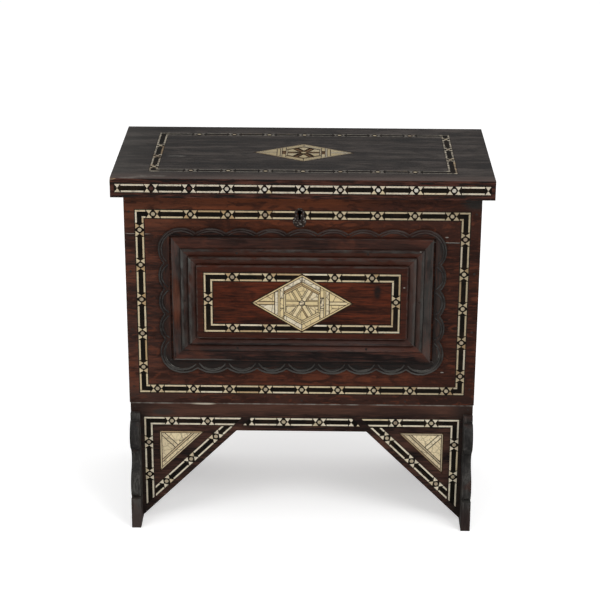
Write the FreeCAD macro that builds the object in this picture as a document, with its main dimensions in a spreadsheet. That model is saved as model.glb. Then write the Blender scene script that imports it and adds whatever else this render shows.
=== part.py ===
import FreeCAD, Part
import math
import os
import Sketcher
from types import SimpleNamespace

# An inlaid chest on its own stand: a hinged lid over a case with a stepped front panel,
# carried by an apron and two side boards whose front edges are cut to a wavy foot.
# +X is to the right of someone facing the front, +Y goes to the back, +Z is up, z = 0 is the floor.
# The origin is the middle of the floor area that the whole chest covers.

# Driving dimensions, in millimetres
SIZES = {
    # case
    "case_width": 490,
    "case_depth": 226,
    "case_height": 311,
    "board_thickness": 14,
    "bottom_thickness": 10,
    # lid
    "lid_thickness": 27,
    "lid_overhang": 16,
    "lid_gap": 0.3,
    # stand
    "stand_height": 185,
    "stand_inset": 1,
    "stand_board": 13.5,
    "apron_rail": 43.5,
    "apron_leg_width": 151,
    "apron_tip": 4,
    "glue_block_side": 22,
    "glue_block_height": 36,
    # wavy front edge of the stand's side boards, from the top down
    "bracket_drop": 15,
    "bracket_reach": 7,
    "ledge_drop": 10,
    "ledge_reach": 13,
    "neck_drop": 42,
    "neck_reach": 16,
    "waist_drop": 32,
    "plinth_height": 45,
    "plinth_neck_reach": 22,
    "plinth_reach": 30,
    "foot_projection": 32,
    "upper_swell": 11,
    "waist_hollow": 9,
    "lower_swell": 10,
    # opening between the feet of a stand side
    "front_foot_length": 32,
    "rear_foot_length": 32,
    "side_opening_height": 50,
    # stepped panel on the front
    "panel_side_margin": 64.8,
    "panel_bottom_margin": 68.5,
    "panel_top_margin": 59.5,
    "fascia_width": 15.5,
    "side_fascia_width": 12.2,
    "fascia_thickness": 7.5,
    "step_width": 10.75,
    "step_rise": 3,
    # carved strips around the panel
    "scallop_thickness": 4,
    "scallop_top": 12.5,
    "scallop_bottom": 21.5,
    "scallop_side": 16,
    "side_groove": 3.3,
    "lobe_depth": 7,
    "lobe_pitch": 42,
    "side_lobe_pitch": 38,
    "corner_lobe": 51,
    # inlaid bands
    "band_width": 11.4,
    "band_pitch": 51.2,
    "bone_line": 2.3,
    "stringing": 0.8,
    "hourglass_base": 7.8,
    "hourglass_offset": 5.7,
    "hourglass_waist": 0.6,
    "line_gap": 0.8,
    "dot_diameter": 5.4,
    "inlay_depth": 1.6,
    "inlay_proud": 0.1,
    "joint_gap": 0.35,
    # places of the bands, from the edges of what they are let into
    "front_band_side": 15.5,
    "front_band_bottom": 16,
    "front_band_top": 22.5,
    "front_side_shift": -5.1,
    "field_band_margin": 11,
    "field_first_unit": 45,
    "field_right_shift": 2.5,
    "field_left_shift": -5,
    "lid_band_side": 50,
    "lid_band_end": 34,
    "lid_side_shift": 21.5,
    "lid_edge_margin": 5.5,
    "apron_band_side": 5.5,
    "apron_band_top": 23.5,
    "apron_band_edge": 8.4,
    "apron_first_unit": 33.8,
    # mosaic diamonds and triangles
    "medallion_width": 139,
    "medallion_height": 84,
    "mosaic_strip": 2.4,
    "mosaic_outline": 1.5,
    "hexagon_apothem": 25,
    "bar_width": 9,
    "bar_edging": 1.6,
    "plate_margin": 10.5,
    "plate_gap": 12.2,
    # keyhole and lock
    "keyhole_drop": 25,
    "keyhole_offset": -4,
    "keyhole_diameter": 7,
    "keyhole_slot": 3.2,
    "keyhole_length": 10,
    "keyhole_plate_diameter": 19,
    "keyhole_plate_neck": 14,
    "keyhole_plate_drop": 12,
    "keyhole_plate_thickness": 1,
    "lock_width": 62,
    "lock_height": 44,
    "lock_depth": 14,
    "lock_flange": 10,
    "lock_wall": 2,
    "lock_drop": 2,
    "bolt_length": 26,
    "bolt_thickness": 4,
    "bolt_height": 8,
    "bolt_drop": 16,
    "bolt_clearance": 0.3,
    "staple_tongue": 3,
    "staple_width": 8,
    "staple_length": 23,
    "staple_clearance": 0.6,
    "staple_gap": 3,
    "staple_plate_length": 40,
    "key_pin_diameter": 3,
    # hinges
    "hinge_spacing": 300,
    "hinge_length": 50,
    "leaf_width": 11,
    "leaf_thickness": 1.5,
    "knuckle_diameter": 6.4,
    "knuckle_gap": 0.3,
    "hinge_pin_diameter": 3,
    "pin_clearance": 0.05,
    # nails and screws
    "nail_diameter": 2.2,
    "nail_head": 3.6,
    "nail_head_thickness": 0.8,
    "nail_length": 34,
    "panel_nail_length": 20,
    "screw_diameter": 3,
    "screw_head": 6,
    "screw_length": 11,
}
FIRST_ROW = 1
OVERCUT = 1.0

doc = FreeCAD.newDocument("InlaidChest")
sheet = doc.addObject("Spreadsheet::Sheet", "Sizes")
for row, (alias, value) in enumerate(SIZES.items(), start=FIRST_ROW):
    sheet.set(f"A{row}", alias)
    sheet.set(f"B{row}", str(value))
    sheet.setAlias(f"B{row}", alias)
doc.recompute()


def text_of(value):
    """The sheet expression of a size, or a plain number as text."""
    return value.text if isinstance(value, Size) else repr(float(value))


class Size(float):
    """A length that also keeps the sheet expression it was worked out from."""

    def __new__(cls, value, text):
        made = super().__new__(cls, value)
        made.text = text
        return made

    def __add__(self, other):
        return Size(float(self) + float(other), f"({self.text} + {text_of(other)})")

    def __radd__(self, other):
        return Size(float(other) + float(self), f"({text_of(other)} + {self.text})")

    def __sub__(self, other):
        return Size(float(self) - float(other), f"({self.text} - {text_of(other)})")

    def __rsub__(self, other):
        return Size(float(other) - float(self), f"({text_of(other)} - {self.text})")

    def __mul__(self, other):
        return Size(float(self) * float(other), f"({self.text} * {text_of(other)})")

    def __rmul__(self, other):
        return Size(float(other) * float(self), f"({text_of(other)} * {self.text})")

    def __truediv__(self, other):
        return Size(float(self) / float(other), f"({self.text} / {text_of(other)})")

    def __neg__(self):
        return Size(-float(self), f"(-{self.text})")


# The same sizes twice: bound ones carry their expression, mm ones are plain numbers
bound = SimpleNamespace(**{alias: Size(float(sheet.get(alias)), "Sizes." + alias) for alias in SIZES})
mm = SimpleNamespace(**{alias: float(sheet.get(alias)) for alias in SIZES})

# Main planes and edges of the chest
shift = (bound.foot_projection - bound.lid_overhang - bound.stand_inset) / 2
front_y = shift - bound.case_depth / 2
back_y = shift + bound.case_depth / 2
inner_front_y = front_y + bound.board_thickness
inner_back_y = back_y - bound.board_thickness
half_width = bound.case_width / 2
inner_half = half_width - bound.board_thickness
case_z = bound.stand_height
rim_z = case_z + bound.case_height
lid_z = rim_z + bound.lid_gap
top_z = lid_z + bound.lid_thickness
apron_y = front_y + bound.stand_inset
stand_back_y = back_y - bound.stand_inset
stand_half = half_width - bound.stand_inset
foot_inner = stand_half - bound.stand_board
half_opening = stand_half - bound.apron_leg_width
bracket_z = bound.stand_height - bound.bracket_drop
rail_z = bound.stand_height - bound.apron_rail

# Sizes of the stepped panel
frame_width = bound.fascia_width + bound.step_width * 2
side_frame_width = bound.side_fascia_width + bound.step_width * 2
field_thickness = bound.fascia_thickness + bound.step_rise * 3
panel_width = bound.case_width - bound.panel_side_margin * 2
panel_height = bound.case_height - bound.panel_bottom_margin - bound.panel_top_margin
half_panel_width = panel_width / 2
half_panel_height = panel_height / 2
panel_z = case_z + bound.panel_bottom_margin + half_panel_height

# Lock, keyhole and staple
lock_top = rim_z - bound.lock_drop
lock_low = lock_top - bound.lock_height
half_lock = bound.lock_width / 2
plate_half = half_lock + bound.lock_flange
lock_back_y = inner_front_y + bound.lock_depth
lock_plate_y = inner_front_y + bound.lock_wall
bolt_y = (lock_plate_y + lock_back_y) / 2
bolt_z = rim_z - bound.bolt_drop
key_z = rim_z - bound.keyhole_drop
bolt_end = bound.keyhole_offset + bound.keyhole_diameter
tongue_x = bolt_end + bound.staple_gap
half_bolt = bound.bolt_thickness / 2
half_bolt_height = bound.bolt_height / 2
slot_y = half_bolt + bound.bolt_clearance
slot_z = half_bolt_height + bound.bolt_clearance
plate_z = key_z - bound.keyhole_plate_drop
staple_middle = tongue_x + bound.staple_tongue / 2
half_staple = bound.staple_plate_length / 2

# Hinges
knuckle = bound.knuckle_diameter / 2
axis_y = back_y + knuckle + bound.knuckle_gap
axis_z = rim_z + bound.lid_gap / 2
leaf_y = (back_y - bound.leaf_width, back_y)

# Ways to lay a piece that is drawn flat: as drawn, standing on the front, or standing on a side
FLAT = FreeCAD.Rotation()
FRONT = FreeCAD.Rotation(FreeCAD.Vector(1, 0, 0), 90)
SIDE = FreeCAD.Rotation(FreeCAD.Vector(1, 1, 1), 120)
DOWN = FreeCAD.Vector(0, 0, -1)
UP = FreeCAD.Vector(0, 0, 1)
INTO_FRONT = FreeCAD.Vector(0, 1, 0)
INTO_BACK = FreeCAD.Vector(0, -1, 0)
TO_RIGHT = FreeCAD.Vector(1, 0, 0)

parts = []


def keep(label, piece):
    """Name a finished sub-part and put it on the list of what is written."""
    piece.Label = label
    parts.append(piece)
    return piece


def place(piece, rotation, x, y, z):
    """Turn a piece and bind its place to the sheet."""
    piece.Placement = FreeCAD.Placement(FreeCAD.Vector(), rotation)
    for axis, value in zip("xyz", (x, y, z)):
        piece.setExpression("Placement.Base." + axis, text_of(value))


def add_box(name, x, y, z):
    """A board or block between two places on each axis."""
    box = doc.addObject("Part::Box", name)
    for side, (low, high) in zip(("Length", "Width", "Height"), (x, y, z)):
        box.setExpression(side, text_of(high - low))
    place(box, FLAT, x[0], y[0], z[0])
    return box


def add_made(name, shape, rotation=FLAT, x=0, y=0, z=0):
    """A piece whose shape is worked out here from the sheet's numbers."""
    made = doc.addObject("Part::Feature", name)
    made.Shape = shape
    place(made, rotation, x, y, z)
    return made


def carve(label, blank, *tools):
    """Cut tools out of a blank, one after the other, and keep what is left under its name."""
    for count, tool in enumerate(tools):
        cut = doc.addObject("Part::Cut", f"{label}_carved_{count}")
        cut.Base = blank
        cut.Tool = tool
        blank = cut
    return keep(label, blank)


def join(name, first, *others):
    """Fuse blanks that are one piece of wood or metal."""
    for count, other in enumerate(others):
        fuse = doc.addObject("Part::Fuse", f"{name}_{count}")
        fuse.Base = first
        fuse.Tool = other
        first = fuse
    return first


def bow_middle(start, end, bow):
    """The middle of an arc that bows to the right of the way from start to end."""
    chord = end - start
    aside = FreeCAD.Vector(chord.y, -chord.x, 0).normalize()
    return (start + end) / 2 + aside * bow


def add_outline(body, name, corners):
    """A closed sketch held to the sheet; a corner's third value bows the edge that follows it."""
    sketch = body.newObject("Sketcher::SketchObject", name)
    plane = next(item for item in body.Origin.OriginFeatures if item.Role == "XY_Plane")
    sketch.AttachmentSupport = [(plane, "")]
    sketch.MapMode = "FlatFace"
    points = [FreeCAD.Vector(float(corner[0]), float(corner[1]), 0) for corner in corners]
    following = points[1:] + points[:1]
    for corner, start, end in zip(corners, points, following):
        if len(corner) == 3:
            sketch.addGeometry(Part.Arc(start, bow_middle(start, end, float(corner[2])), end), False)
        else:
            sketch.addGeometry(Part.LineSegment(start, end), False)
    begins = []
    for edge, start in enumerate(points):
        near, far = (sketch.getPoint(edge, point).distanceToPoint(start) for point in (1, 2))
        begins.append(1 if near < far else 2)
    for edge, corner in enumerate(corners):
        after = (edge + 1) % len(corners)
        finish = 3 - begins[edge]
        sketch.addConstraint(Sketcher.Constraint("Coincident", edge, finish, after, begins[after]))
        for kind, value in (("DistanceX", corner[0]), ("DistanceY", corner[1])):
            held = sketch.addConstraint(
                Sketcher.Constraint(kind, -1, 1, edge, begins[edge], float(value)))
            sketch.setExpression(f"Constraints[{held}]", text_of(value))
        if len(corner) == 3:
            across = corners[after][0] - corner[0]
            along = corners[after][1] - corner[1]
            bow = corner[2] if corner[2] > 0 else -corner[2]
            radius = ((across * across + along * along) / 4 + bow * bow) / (bow * 2)
            held = sketch.addConstraint(Sketcher.Constraint("Radius", edge, float(radius)))
            sketch.setExpression(f"Constraints[{held}]", text_of(radius))
    return sketch


def add_body(name, *layers):
    """A body padded up from one or more outlines, each with its own height."""
    body = doc.addObject("PartDesign::Body", name)
    for count, (corners, height) in enumerate(layers):
        pad = body.newObject("PartDesign::Pad", f"{name}_pad_{count}")
        pad.Profile = add_outline(body, f"{name}_outline_{count}", corners)
        pad.setExpression("Length", text_of(height))
        body.Tip = pad
    return body


def mirror_corners(corners):
    """The right half of an outline, top to bottom, followed by its left half."""
    return corners + [(-corner[0], corner[1]) for corner in reversed(corners)]


def rectangle(left, right, low, high):
    return [(left, low), (right, low), (right, high), (left, high)]


def closed_wire(polygon):
    points = [FreeCAD.Vector(u, v, 0) for u, v in polygon]
    return Part.makePolygon(points + points[:1])


def circle_wire(centre, radius):
    return Part.Wire(Part.makeCircle(radius, FreeCAD.Vector(centre[0], centre[1], 0)))


def slab(wires, low, high):
    """A flat plate with the first wire as its outline and the others as holes."""
    face = Part.makeFace(wires, "Part::FaceMakerBullseye")
    face.translate(FreeCAD.Vector(0, 0, low))
    return face.extrude(FreeCAD.Vector(0, 0, high - low))


def inlay_slabs(wires):
    """Pieces of inlay that reach from the bottom of their bed to a little above the wood."""
    return Part.makeCompound([slab([wire], -mm.inlay_depth, mm.inlay_proud) for wire in wires])


def clip(polygon, anchor, outward):
    """The part of a polygon on the inner side of the line through anchor."""
    reach = [(u - anchor[0]) * outward[0] + (v - anchor[1]) * outward[1] for u, v in polygon]
    kept = []
    for index, point in enumerate(polygon):
        after = (index + 1) % len(polygon)
        if reach[index] <= 0:
            kept.append(point)
        if reach[index] * reach[after] < 0:
            share = reach[index] / (reach[index] - reach[after])
            kept.append(tuple(a + share * (b - a) for a, b in zip(point, polygon[after])))
    return kept


def edge_lines(polygon, inset):
    """Each edge of a polygon that runs anticlockwise, moved in, as an anchor and an outward direction."""
    lines = []
    for start, end in zip(polygon, polygon[1:] + polygon[:1]):
        length = math.dist(start, end)
        outward = ((end[1] - start[1]) / length, (start[0] - end[0]) / length)
        lines.append(((start[0] - outward[0] * inset, start[1] - outward[1] * inset), outward))
    return lines


def shrink(polygon, inset):
    """A convex polygon with every edge moved in."""
    area = sum(a[0] * b[1] - b[0] * a[1] for a, b in zip(polygon, polygon[1:] + polygon[:1]))
    turned = polygon if area > 0 else polygon[::-1]
    for anchor, outward in edge_lines(turned, inset):
        polygon = clip(polygon, anchor, outward)
    return polygon


def moved_corners(polygon, inset):
    """The corners of a polygon that runs anticlockwise, with every edge moved in, or out if negative."""
    lines = edge_lines(polygon, inset)
    corners = []
    for (a, m), (b, n) in zip(lines[-1:] + lines[:-1], lines):
        reach_a = a[0] * m[0] + a[1] * m[1]
        reach_b = b[0] * n[0] + b[1] * n[1]
        cross = m[0] * n[1] - m[1] * n[0]
        corners.append(((reach_a * n[1] - reach_b * m[1]) / cross, (reach_b * m[0] - reach_a * n[0]) / cross))
    return corners


def rim_strips(polygon, inset):
    """Mitred strips along the edges of a polygon that runs anticlockwise."""
    inner = moved_corners(polygon, inset)
    count = len(polygon)
    return [[polygon[k], polygon[(k + 1) % count], inner[(k + 1) % count], inner[k]] for k in range(count)]


def turned_to(points, origin, angle):
    """Points drawn along a band, carried to where the band lies."""
    cos, sin = math.cos(angle), math.sin(angle)
    return [(origin[0] + u * cos - v * sin, origin[1] + u * sin + v * cos) for u, v in points]


def inside(point, limits, margin):
    """Whether a point lies within all the limiting lines by a margin."""
    return all((point[0] - anchor[0]) * outward[0] + (point[1] - anchor[1]) * outward[1] < -margin
               for anchor, outward in limits)


class Band:
    """Bone outlines, dot centres and the ground's outline of one straight inlaid band."""

    def __init__(self):
        self.bone = []
        self.dots = []
        self.grounds = []

    def add_run(self, origin, angle, length, units, outer=0.0, inner=0.0, hourglasses=(), limits=()):
        """One run: units are dotted crosses, outer and inner say how far each line runs on at both ends."""
        half = mm.band_width / 2
        base = mm.hourglass_base / 2
        pieces = []
        centres = [unit + way * mm.hourglass_offset for unit in units for way in (-1, 1)]
        for centre in centres + list(hourglasses):
            for way in (-1, 1):
                pieces.append([(centre - base, way * half), (centre + base, way * half),
                               (centre, way * mm.hourglass_waist / 2)])
        breaks = [(unit - mm.hourglass_offset - base, unit + mm.hourglass_offset + base) for unit in units]
        breaks += [(centre - base, centre + base) for centre in hourglasses]
        for way, run_on in ((1, outer), (-1, inner)):
            cursor = -run_on
            for low, high in sorted(breaks) + [(length + run_on + mm.line_gap, None)]:
                if low - mm.line_gap > cursor:
                    inner_edge = half - mm.bone_line
                    pieces.append(rectangle(cursor, low - mm.line_gap, way * half, way * inner_edge))
                cursor = None if high is None else high + mm.line_gap
        for piece in pieces:
            laid = turned_to(piece, origin, angle)
            for anchor, outward in limits:
                moved = (anchor[0] - outward[0] * mm.stringing, anchor[1] - outward[1] * mm.stringing)
                laid = clip(laid, moved, outward)
            if len(laid) > 2:
                self.bone.append(laid)
        for centre in turned_to([(unit, 0.0) for unit in units], origin, angle):
            if inside(centre, limits, mm.dot_diameter / 2 + mm.stringing):
                self.dots.append(centre)

    def add_ground(self, outline, opening=None):
        """The black ground: an outline, with an opening where it is a closed border."""
        self.grounds.append((outline, opening))

    def bone_shape(self):
        return inlay_slabs([closed_wire(piece) for piece in self.bone])

    def pearl_shape(self):
        return inlay_slabs([circle_wire(dot, mm.dot_diameter / 2) for dot in self.dots])

    def ground_shape(self):
        """The ground fills the groove around the bone and the dots."""
        plates = []
        for outline, opening in self.grounds:
            inner = [closed_wire(opening)] if opening else []
            holes = [closed_wire(piece) for piece in self.bone if lies_in(piece, outline, opening)]
            holes += [circle_wire(dot, mm.dot_diameter / 2) for dot in self.dots
                      if lies_in([dot], outline, opening)]
            plates.append(slab([closed_wire(outline)] + inner + holes, -mm.inlay_depth, 0.0))
        return Part.makeCompound(plates)

    def groove_shape(self):
        """What is cut out of the wood for the whole band."""
        cuts = []
        for outline, opening in self.grounds:
            inner = [closed_wire(opening)] if opening else []
            cuts.append(slab([closed_wire(outline)] + inner, -mm.inlay_depth, OVERCUT))
        return Part.makeCompound(cuts)


def lies_in(piece, outline, opening):
    """Whether the middle of a piece is on the ground with this outline."""
    middle = [sum(values) / len(piece) for values in zip(*piece)]
    return holds(outline, middle) and not (opening and holds(opening, middle))


def holds(polygon, point):
    """Whether a point is inside a polygon, by counting the edges crossed on the way out."""
    crossed = False
    for (u0, v0), (u1, v1) in zip(polygon, polygon[1:] + polygon[:1]):
        if (v0 > point[1]) != (v1 > point[1]) and point[0] < u0 + (point[1] - v0) / (v1 - v0) * (u1 - u0):
            crossed = not crossed
    return crossed


def unit_places(length, first=0.0, shift_along=0.0):
    """Places of the dotted crosses along a run, even about its middle and then shifted along it."""
    room = length / 2 - mm.hourglass_offset - mm.hourglass_base / 2 - mm.band_width / 2 - mm.line_gap
    ways = [first + step * mm.band_pitch for step in range(int(max(room - first, 0) // mm.band_pitch) + 1)]
    shifted = {side * way + shift_along for way in ways for side in (-1, 1)}
    return sorted(length / 2 + way for way in shifted if abs(way) <= room)


def border_band(left, right, low, high, side_shifts, top_first=0.0, top_skip=(), top_hourglasses=()):
    """A rectangular border whose bone lines' outer edges are at the given places."""
    half = mm.band_width / 2
    right_shift, left_shift = side_shifts
    width = right - left - mm.band_width
    height = high - low - mm.band_width
    band = Band()
    runs = (((left + half, low + half), width, 0.0, unit_places(width, top_first)),
            ((right - half, low + half), height, math.pi / 2, unit_places(height, 0.0, right_shift)),
            ((right - half, high - half), width, math.pi, unit_places(width, top_first)),
            ((left + half, high - half), height, -math.pi / 2, unit_places(height, 0.0, left_shift)))
    for count, (origin, length, angle, units) in enumerate(runs):
        if count % 2:
            on_outside, on_inside = half - mm.bone_line - mm.joint_gap, -half - mm.joint_gap
        else:
            on_outside, on_inside = half, mm.bone_line - half
        waists = ()
        if count == 2:
            units = [unit for unit in units if all(abs(unit - length / 2 - skip) > half for skip in top_skip)]
            waists = [length / 2 - place_x for place_x in top_hourglasses]
        # the run's right-hand side is the outside of the border
        band.add_run(origin, angle, length, units, on_inside, on_outside, waists)
    edge = mm.stringing
    band.add_ground(rectangle(left - edge, right + edge, low - edge, high + edge),
                    rectangle(left + mm.band_width + edge, right - mm.band_width - edge,
                              low + mm.band_width + edge, high - mm.band_width - edge))
    return band


def diamond(half_u, half_v):
    return [(half_u, 0.0), (0.0, half_v), (-half_u, 0.0), (0.0, -half_v)]


def polar(radius, degrees):
    return (radius * math.cos(math.radians(degrees)), radius * math.sin(math.radians(degrees)))


def strips(polygon, anchor, outward, *distances):
    """Slices of a polygon between lines set at growing distances from the anchor; the last is open."""
    slices = []
    for near, far in zip(distances, distances[1:] + (None,)):
        piece = clip(polygon, [a + o * near for a, o in zip(anchor, outward)], [-o for o in outward])
        if far is not None:
            piece = clip(piece, [a + o * far for a, o in zip(anchor, outward)], outward)
        slices.append(piece)
    return slices


def medallion_pieces():
    """The mosaic diamond: a six-barred wheel in a hexagon, strips beside it and herringbone tips.

    The pieces lost from the lid's diamond are listed apart.
    """
    half_u, half_v = mm.medallion_width / 2, mm.medallion_height / 2
    edge = mm.mosaic_strip
    outer = diamond(half_u, half_v)
    inner = moved_corners(outer, edge)
    bone = rim_strips(outer, edge)
    pearl = []
    lost_bone = []
    lost_pearl = []
    hexagon_radius = mm.hexagon_apothem / math.cos(math.pi / 6)
    hexagon = [polar(hexagon_radius, 30 + 60 * k) for k in range(6)]
    rim = moved_corners(hexagon, edge)
    hub_radius = mm.bar_width / 2
    for k, side_strip in enumerate(rim_strips(hexagon, edge)):
        is_upright = k in (2, 5)
        (bone if is_upright else lost_bone).append(side_strip)
    for k in range(6):
        # wedge of pearl between two bars
        wedge = rim
        for bar, way in ((k, 1), (k + 1, -1)):
            aside = polar(way, 60 * bar + 90)
            wedge = clip(wedge, [a * mm.bar_width / 2 for a in aside], [-a for a in aside])
        pearl.append(wedge)
        # bar from the hub to the middle of a hexagon's side: two edgings and the strip between them
        start = hub_radius * math.cos(math.pi / 6)
        reach = mm.hexagon_apothem - edge
        core = mm.bar_width / 2 - mm.bar_edging
        is_level = k in (0, 3)
        for low, high in ((-mm.bar_width / 2, -core), (-core, core), (core, mm.bar_width / 2)):
            strip = rectangle(start, reach, low, high)
            for limit in (120, -120):
                strip = clip(strip, (0.0, 0.0), polar(1.0, limit))
            is_edging = low * high > 0
            pieces = bone if is_level and is_edging else lost_bone
            pieces.append(turned_to(strip, (0.0, 0.0), math.radians(60 * k)))
    # strips between the hexagon's slanted sides and the diamond's edges
    for k in (0, 1, 3, 4):
        outward = polar(1.0, 60 + 60 * k)
        corner = clip(clip(inner, (mm.hexagon_apothem, 0.0), (1, 0)), (-mm.hexagon_apothem, 0.0), (-1, 0))
        corner = clip(corner, (0.0, 0.0), (-1 if outward[0] > 0 else 1, 0))
        beside_hexagon, beside_edge = strips(corner, hexagon[k], outward, 0.0, edge)
        bone.append(beside_hexagon)
        pearl.append(beside_edge)
    # upright strips and the two tips
    for way in (-1, 1):
        first, second, third, tip = strips(
            inner, (way * mm.hexagon_apothem, 0.0), (way, 0.0), 0.0, 2.3 * edge, 3.3 * edge, 5.3 * edge)
        socket_half = 3.1 * edge
        below, socket, above = strips(
            first, (0.0, -half_v), (0.0, 1.0), 0.0, half_v - socket_half, half_v + socket_half)
        pearl += [below, above]
        lost_pearl.append(socket)
        bone.append(second)
        pearl.append(third)
        below, middle, above = strips(tip, (0.0, -half_v), (0.0, 1.0), 0.0, half_v - edge, half_v + edge)
        bone.append(middle)
        pearl += [below, above]
    pearl.append([polar(hub_radius, 30 + 60 * k) for k in range(6)])
    return SimpleNamespace(bone=bone, pearl=pearl, lost_bone=lost_bone, lost_pearl=lost_pearl)


def plate_pieces(corner, level_end, upright_end):
    """One triangle of mosaic, from its square corner and the ends of its two legs, anticlockwise."""
    edge = mm.mosaic_strip
    outer = [corner, level_end, upright_end]
    inner = moved_corners(outer, edge)
    bone = rim_strips(outer, edge)
    # strips beside the slanted side, then the rest split across its middle
    middle = tuple((a + b) / 2 for a, b in zip(level_end, upright_end))
    out = edge_lines(outer, 0.0)[1][1]
    back = (-out[0], -out[1])
    beside, line, rest = strips(inner, middle, back, edge, 3.2 * edge, 4.4 * edge)
    bone.append(line)
    reach = math.dist(level_end, upright_end)
    pearl = [beside] + strips(rest, middle, (out[1], -out[0]), -reach, -1.2 * edge, 1.2 * edge)
    return SimpleNamespace(outer=outer, bone=bone, pearl=pearl)


def mosaic_shapes(outline, bone, pearl, empty=()):
    """Ground, bone and pearl of a mosaic; empty sockets are left where pieces are lost."""
    gap = mm.joint_gap / 2
    cut_bone = [shrink(piece, gap) for piece in bone]
    cut_pearl = [shrink(piece, gap) for piece in pearl]
    lost = [shrink(piece, gap) for piece in empty]
    holes = [closed_wire(piece) for piece in cut_bone + cut_pearl + lost]
    ground = slab([closed_wire(outline)] + holes, -mm.inlay_depth, 0.0)
    return (ground, inlay_slabs([closed_wire(piece) for piece in cut_bone]),
            inlay_slabs([closed_wire(piece) for piece in cut_pearl]))


def cylinder(diameter, length, start, direction):
    return Part.makeCylinder(diameter / 2, length, start, direction)


def nail(start, direction, length):
    """A nail driven in until its head is level with the wood."""
    return cylinder(mm.nail_diameter, length, start, direction).fuse(
        cylinder(mm.nail_head, mm.nail_head_thickness, start, direction))


def screw(start, direction):
    """A countersunk screw with its head level at start."""
    sink = (mm.screw_head - mm.screw_diameter) / 2
    head = Part.makeCone(mm.screw_head / 2, mm.screw_diameter / 2, sink, start, direction)
    return head.fuse(cylinder(mm.screw_diameter, mm.screw_length, start, direction)).removeSplitter()


def at(x, y, z):
    return FreeCAD.Vector(float(x), float(y), float(z))


def group(name, shapes):
    """Several like pieces in one named sub-part."""
    return keep(name, add_made(name, Part.makeCompound(shapes)))


def add_inlay(prefix, ground, bone, pearl, rotation, x, y, z):
    """The three sub-parts of one area of inlay."""
    for name, shape in (("ground", ground), ("bone", bone), ("pearl", pearl)):
        label = f"{prefix}_{name}"
        keep(label, add_made(label, shape, rotation, x, y, z))


# Nails of the case and the stand: through the front and back into the sides and the bottom,
# through the apron into the stand's sides, and through those into the back apron
case_nail_heights = [case_z + bound.case_height * share for share in (0.08, 0.36, 0.64, 0.92)]
bottom_nail_z = case_z + bound.bottom_thickness / 2
board_nail_list = []
for face_y, inward in ((front_y, INTO_FRONT), (back_y, INTO_BACK)):
    for side in (-1, 1):
        nail_x = side * (half_width - bound.board_thickness / 2)
        board_nail_list += [nail(at(nail_x, face_y, z), inward, mm.nail_length) for z in case_nail_heights]
    board_nail_list += [nail(at(half_width * share, face_y, bottom_nail_z), inward, mm.nail_length)
                        for share in (-0.6, 0, 0.6)]
rail_middle = (bound.stand_height + bracket_z) / 2
back_apron_middle = stand_back_y - bound.stand_board / 2
for side in (-1, 1):
    foot_middle = side * (stand_half - bound.stand_board / 2)
    board_nail_list.append(nail(at(foot_middle, apron_y, rail_middle), INTO_FRONT, mm.nail_length))
    for share in (0.25, 0.75):
        start = at(side * stand_half, back_apron_middle, bound.stand_height - bound.apron_rail * share)
        board_nail_list.append(nail(start, TO_RIGHT * -side, mm.nail_length))
board_nails = group("board_nails", board_nail_list)

# Nails through the moulding lengths into the front board
panel_nail_list = []
nail_run = bound.fascia_width + bound.step_width / 2
side_nail_run = bound.side_fascia_width + bound.step_width / 2
nail_face_y = front_y - bound.fascia_thickness - bound.step_rise
for side in (-1, 1):
    for share in (-0.25, 0.25):
        panel_nail_list.append(nail(
            at(panel_width * share, nail_face_y, panel_z + side * (half_panel_height - nail_run)),
            INTO_FRONT, mm.panel_nail_length))
    panel_nail_list.append(nail(
        at(side * (half_panel_width - side_nail_run), nail_face_y, panel_z),
        INTO_FRONT, mm.panel_nail_length))
moulding_nails = group("moulding_nails", panel_nail_list)

# Screws: those of the lock and the hinges' lower leaves, and those of the staple and the upper leaves
case_screw_list = []
lid_screw_list = []
leaf_screw_y = back_y - bound.leaf_width / 2
for side in (-1, 1):
    flange_x = side * (plate_half - bound.lock_flange / 2)
    for level in (0.2, 0.8):
        start = at(flange_x, lock_plate_y, lock_low + bound.lock_height * level)
        case_screw_list.append(screw(start, INTO_BACK))
    lid_screw_list.append(screw(at(staple_middle + side * half_staple * 0.7, bolt_y, lid_z), UP))
    for way in (-1, 1):
        leaf_screw_x = side * bound.hinge_spacing / 2 + way * bound.hinge_length / 3
        case_screw_list.append(screw(at(leaf_screw_x, leaf_screw_y, rim_z), DOWN))
        lid_screw_list.append(screw(at(leaf_screw_x, leaf_screw_y, lid_z), UP))
case_screws = group("case_screws", case_screw_list)
lid_screws = group("lid_screws", lid_screw_list)

# Lock: a case screwed to the inside of the front, a sliding bolt, a cover and the pin for the key
lock_plate = add_box("lock_plate_blank", (-plate_half, plate_half), (inner_front_y, lock_plate_y),
                     (lock_low, lock_top))
lock_box = add_box("lock_box_blank", (-half_lock, half_lock), (inner_front_y, lock_back_y),
                   (lock_low, lock_top))
cavity_x = (-half_lock + bound.lock_wall, half_lock - bound.lock_wall)
lock_cavity = add_box("lock_cavity", cavity_x, (lock_plate_y, lock_back_y + OVERCUT),
                      (lock_low + bound.lock_wall, lock_top - bound.lock_wall))
lock_shell = doc.addObject("Part::Cut", "lock_shell")
lock_shell.Base = join("lock_blank", lock_plate, lock_box)
lock_shell.Tool = lock_cavity
guide_low = bolt_z - half_bolt_height - bound.lock_wall * 2
guides = []
for name, reach in (("outer_guide", bound.bolt_length * 0.6), ("inner_guide", bound.lock_wall * 2)):
    guide_x = bolt_end - reach
    guides.append(add_box(name, (guide_x, guide_x + bound.lock_wall), (lock_plate_y, lock_back_y),
                          (guide_low, lock_top)))
bolt_slot = add_box("bolt_slot", cavity_x, (bolt_y - slot_y, bolt_y + slot_y),
                    (bolt_z - slot_z, bolt_z + slot_z))
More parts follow.
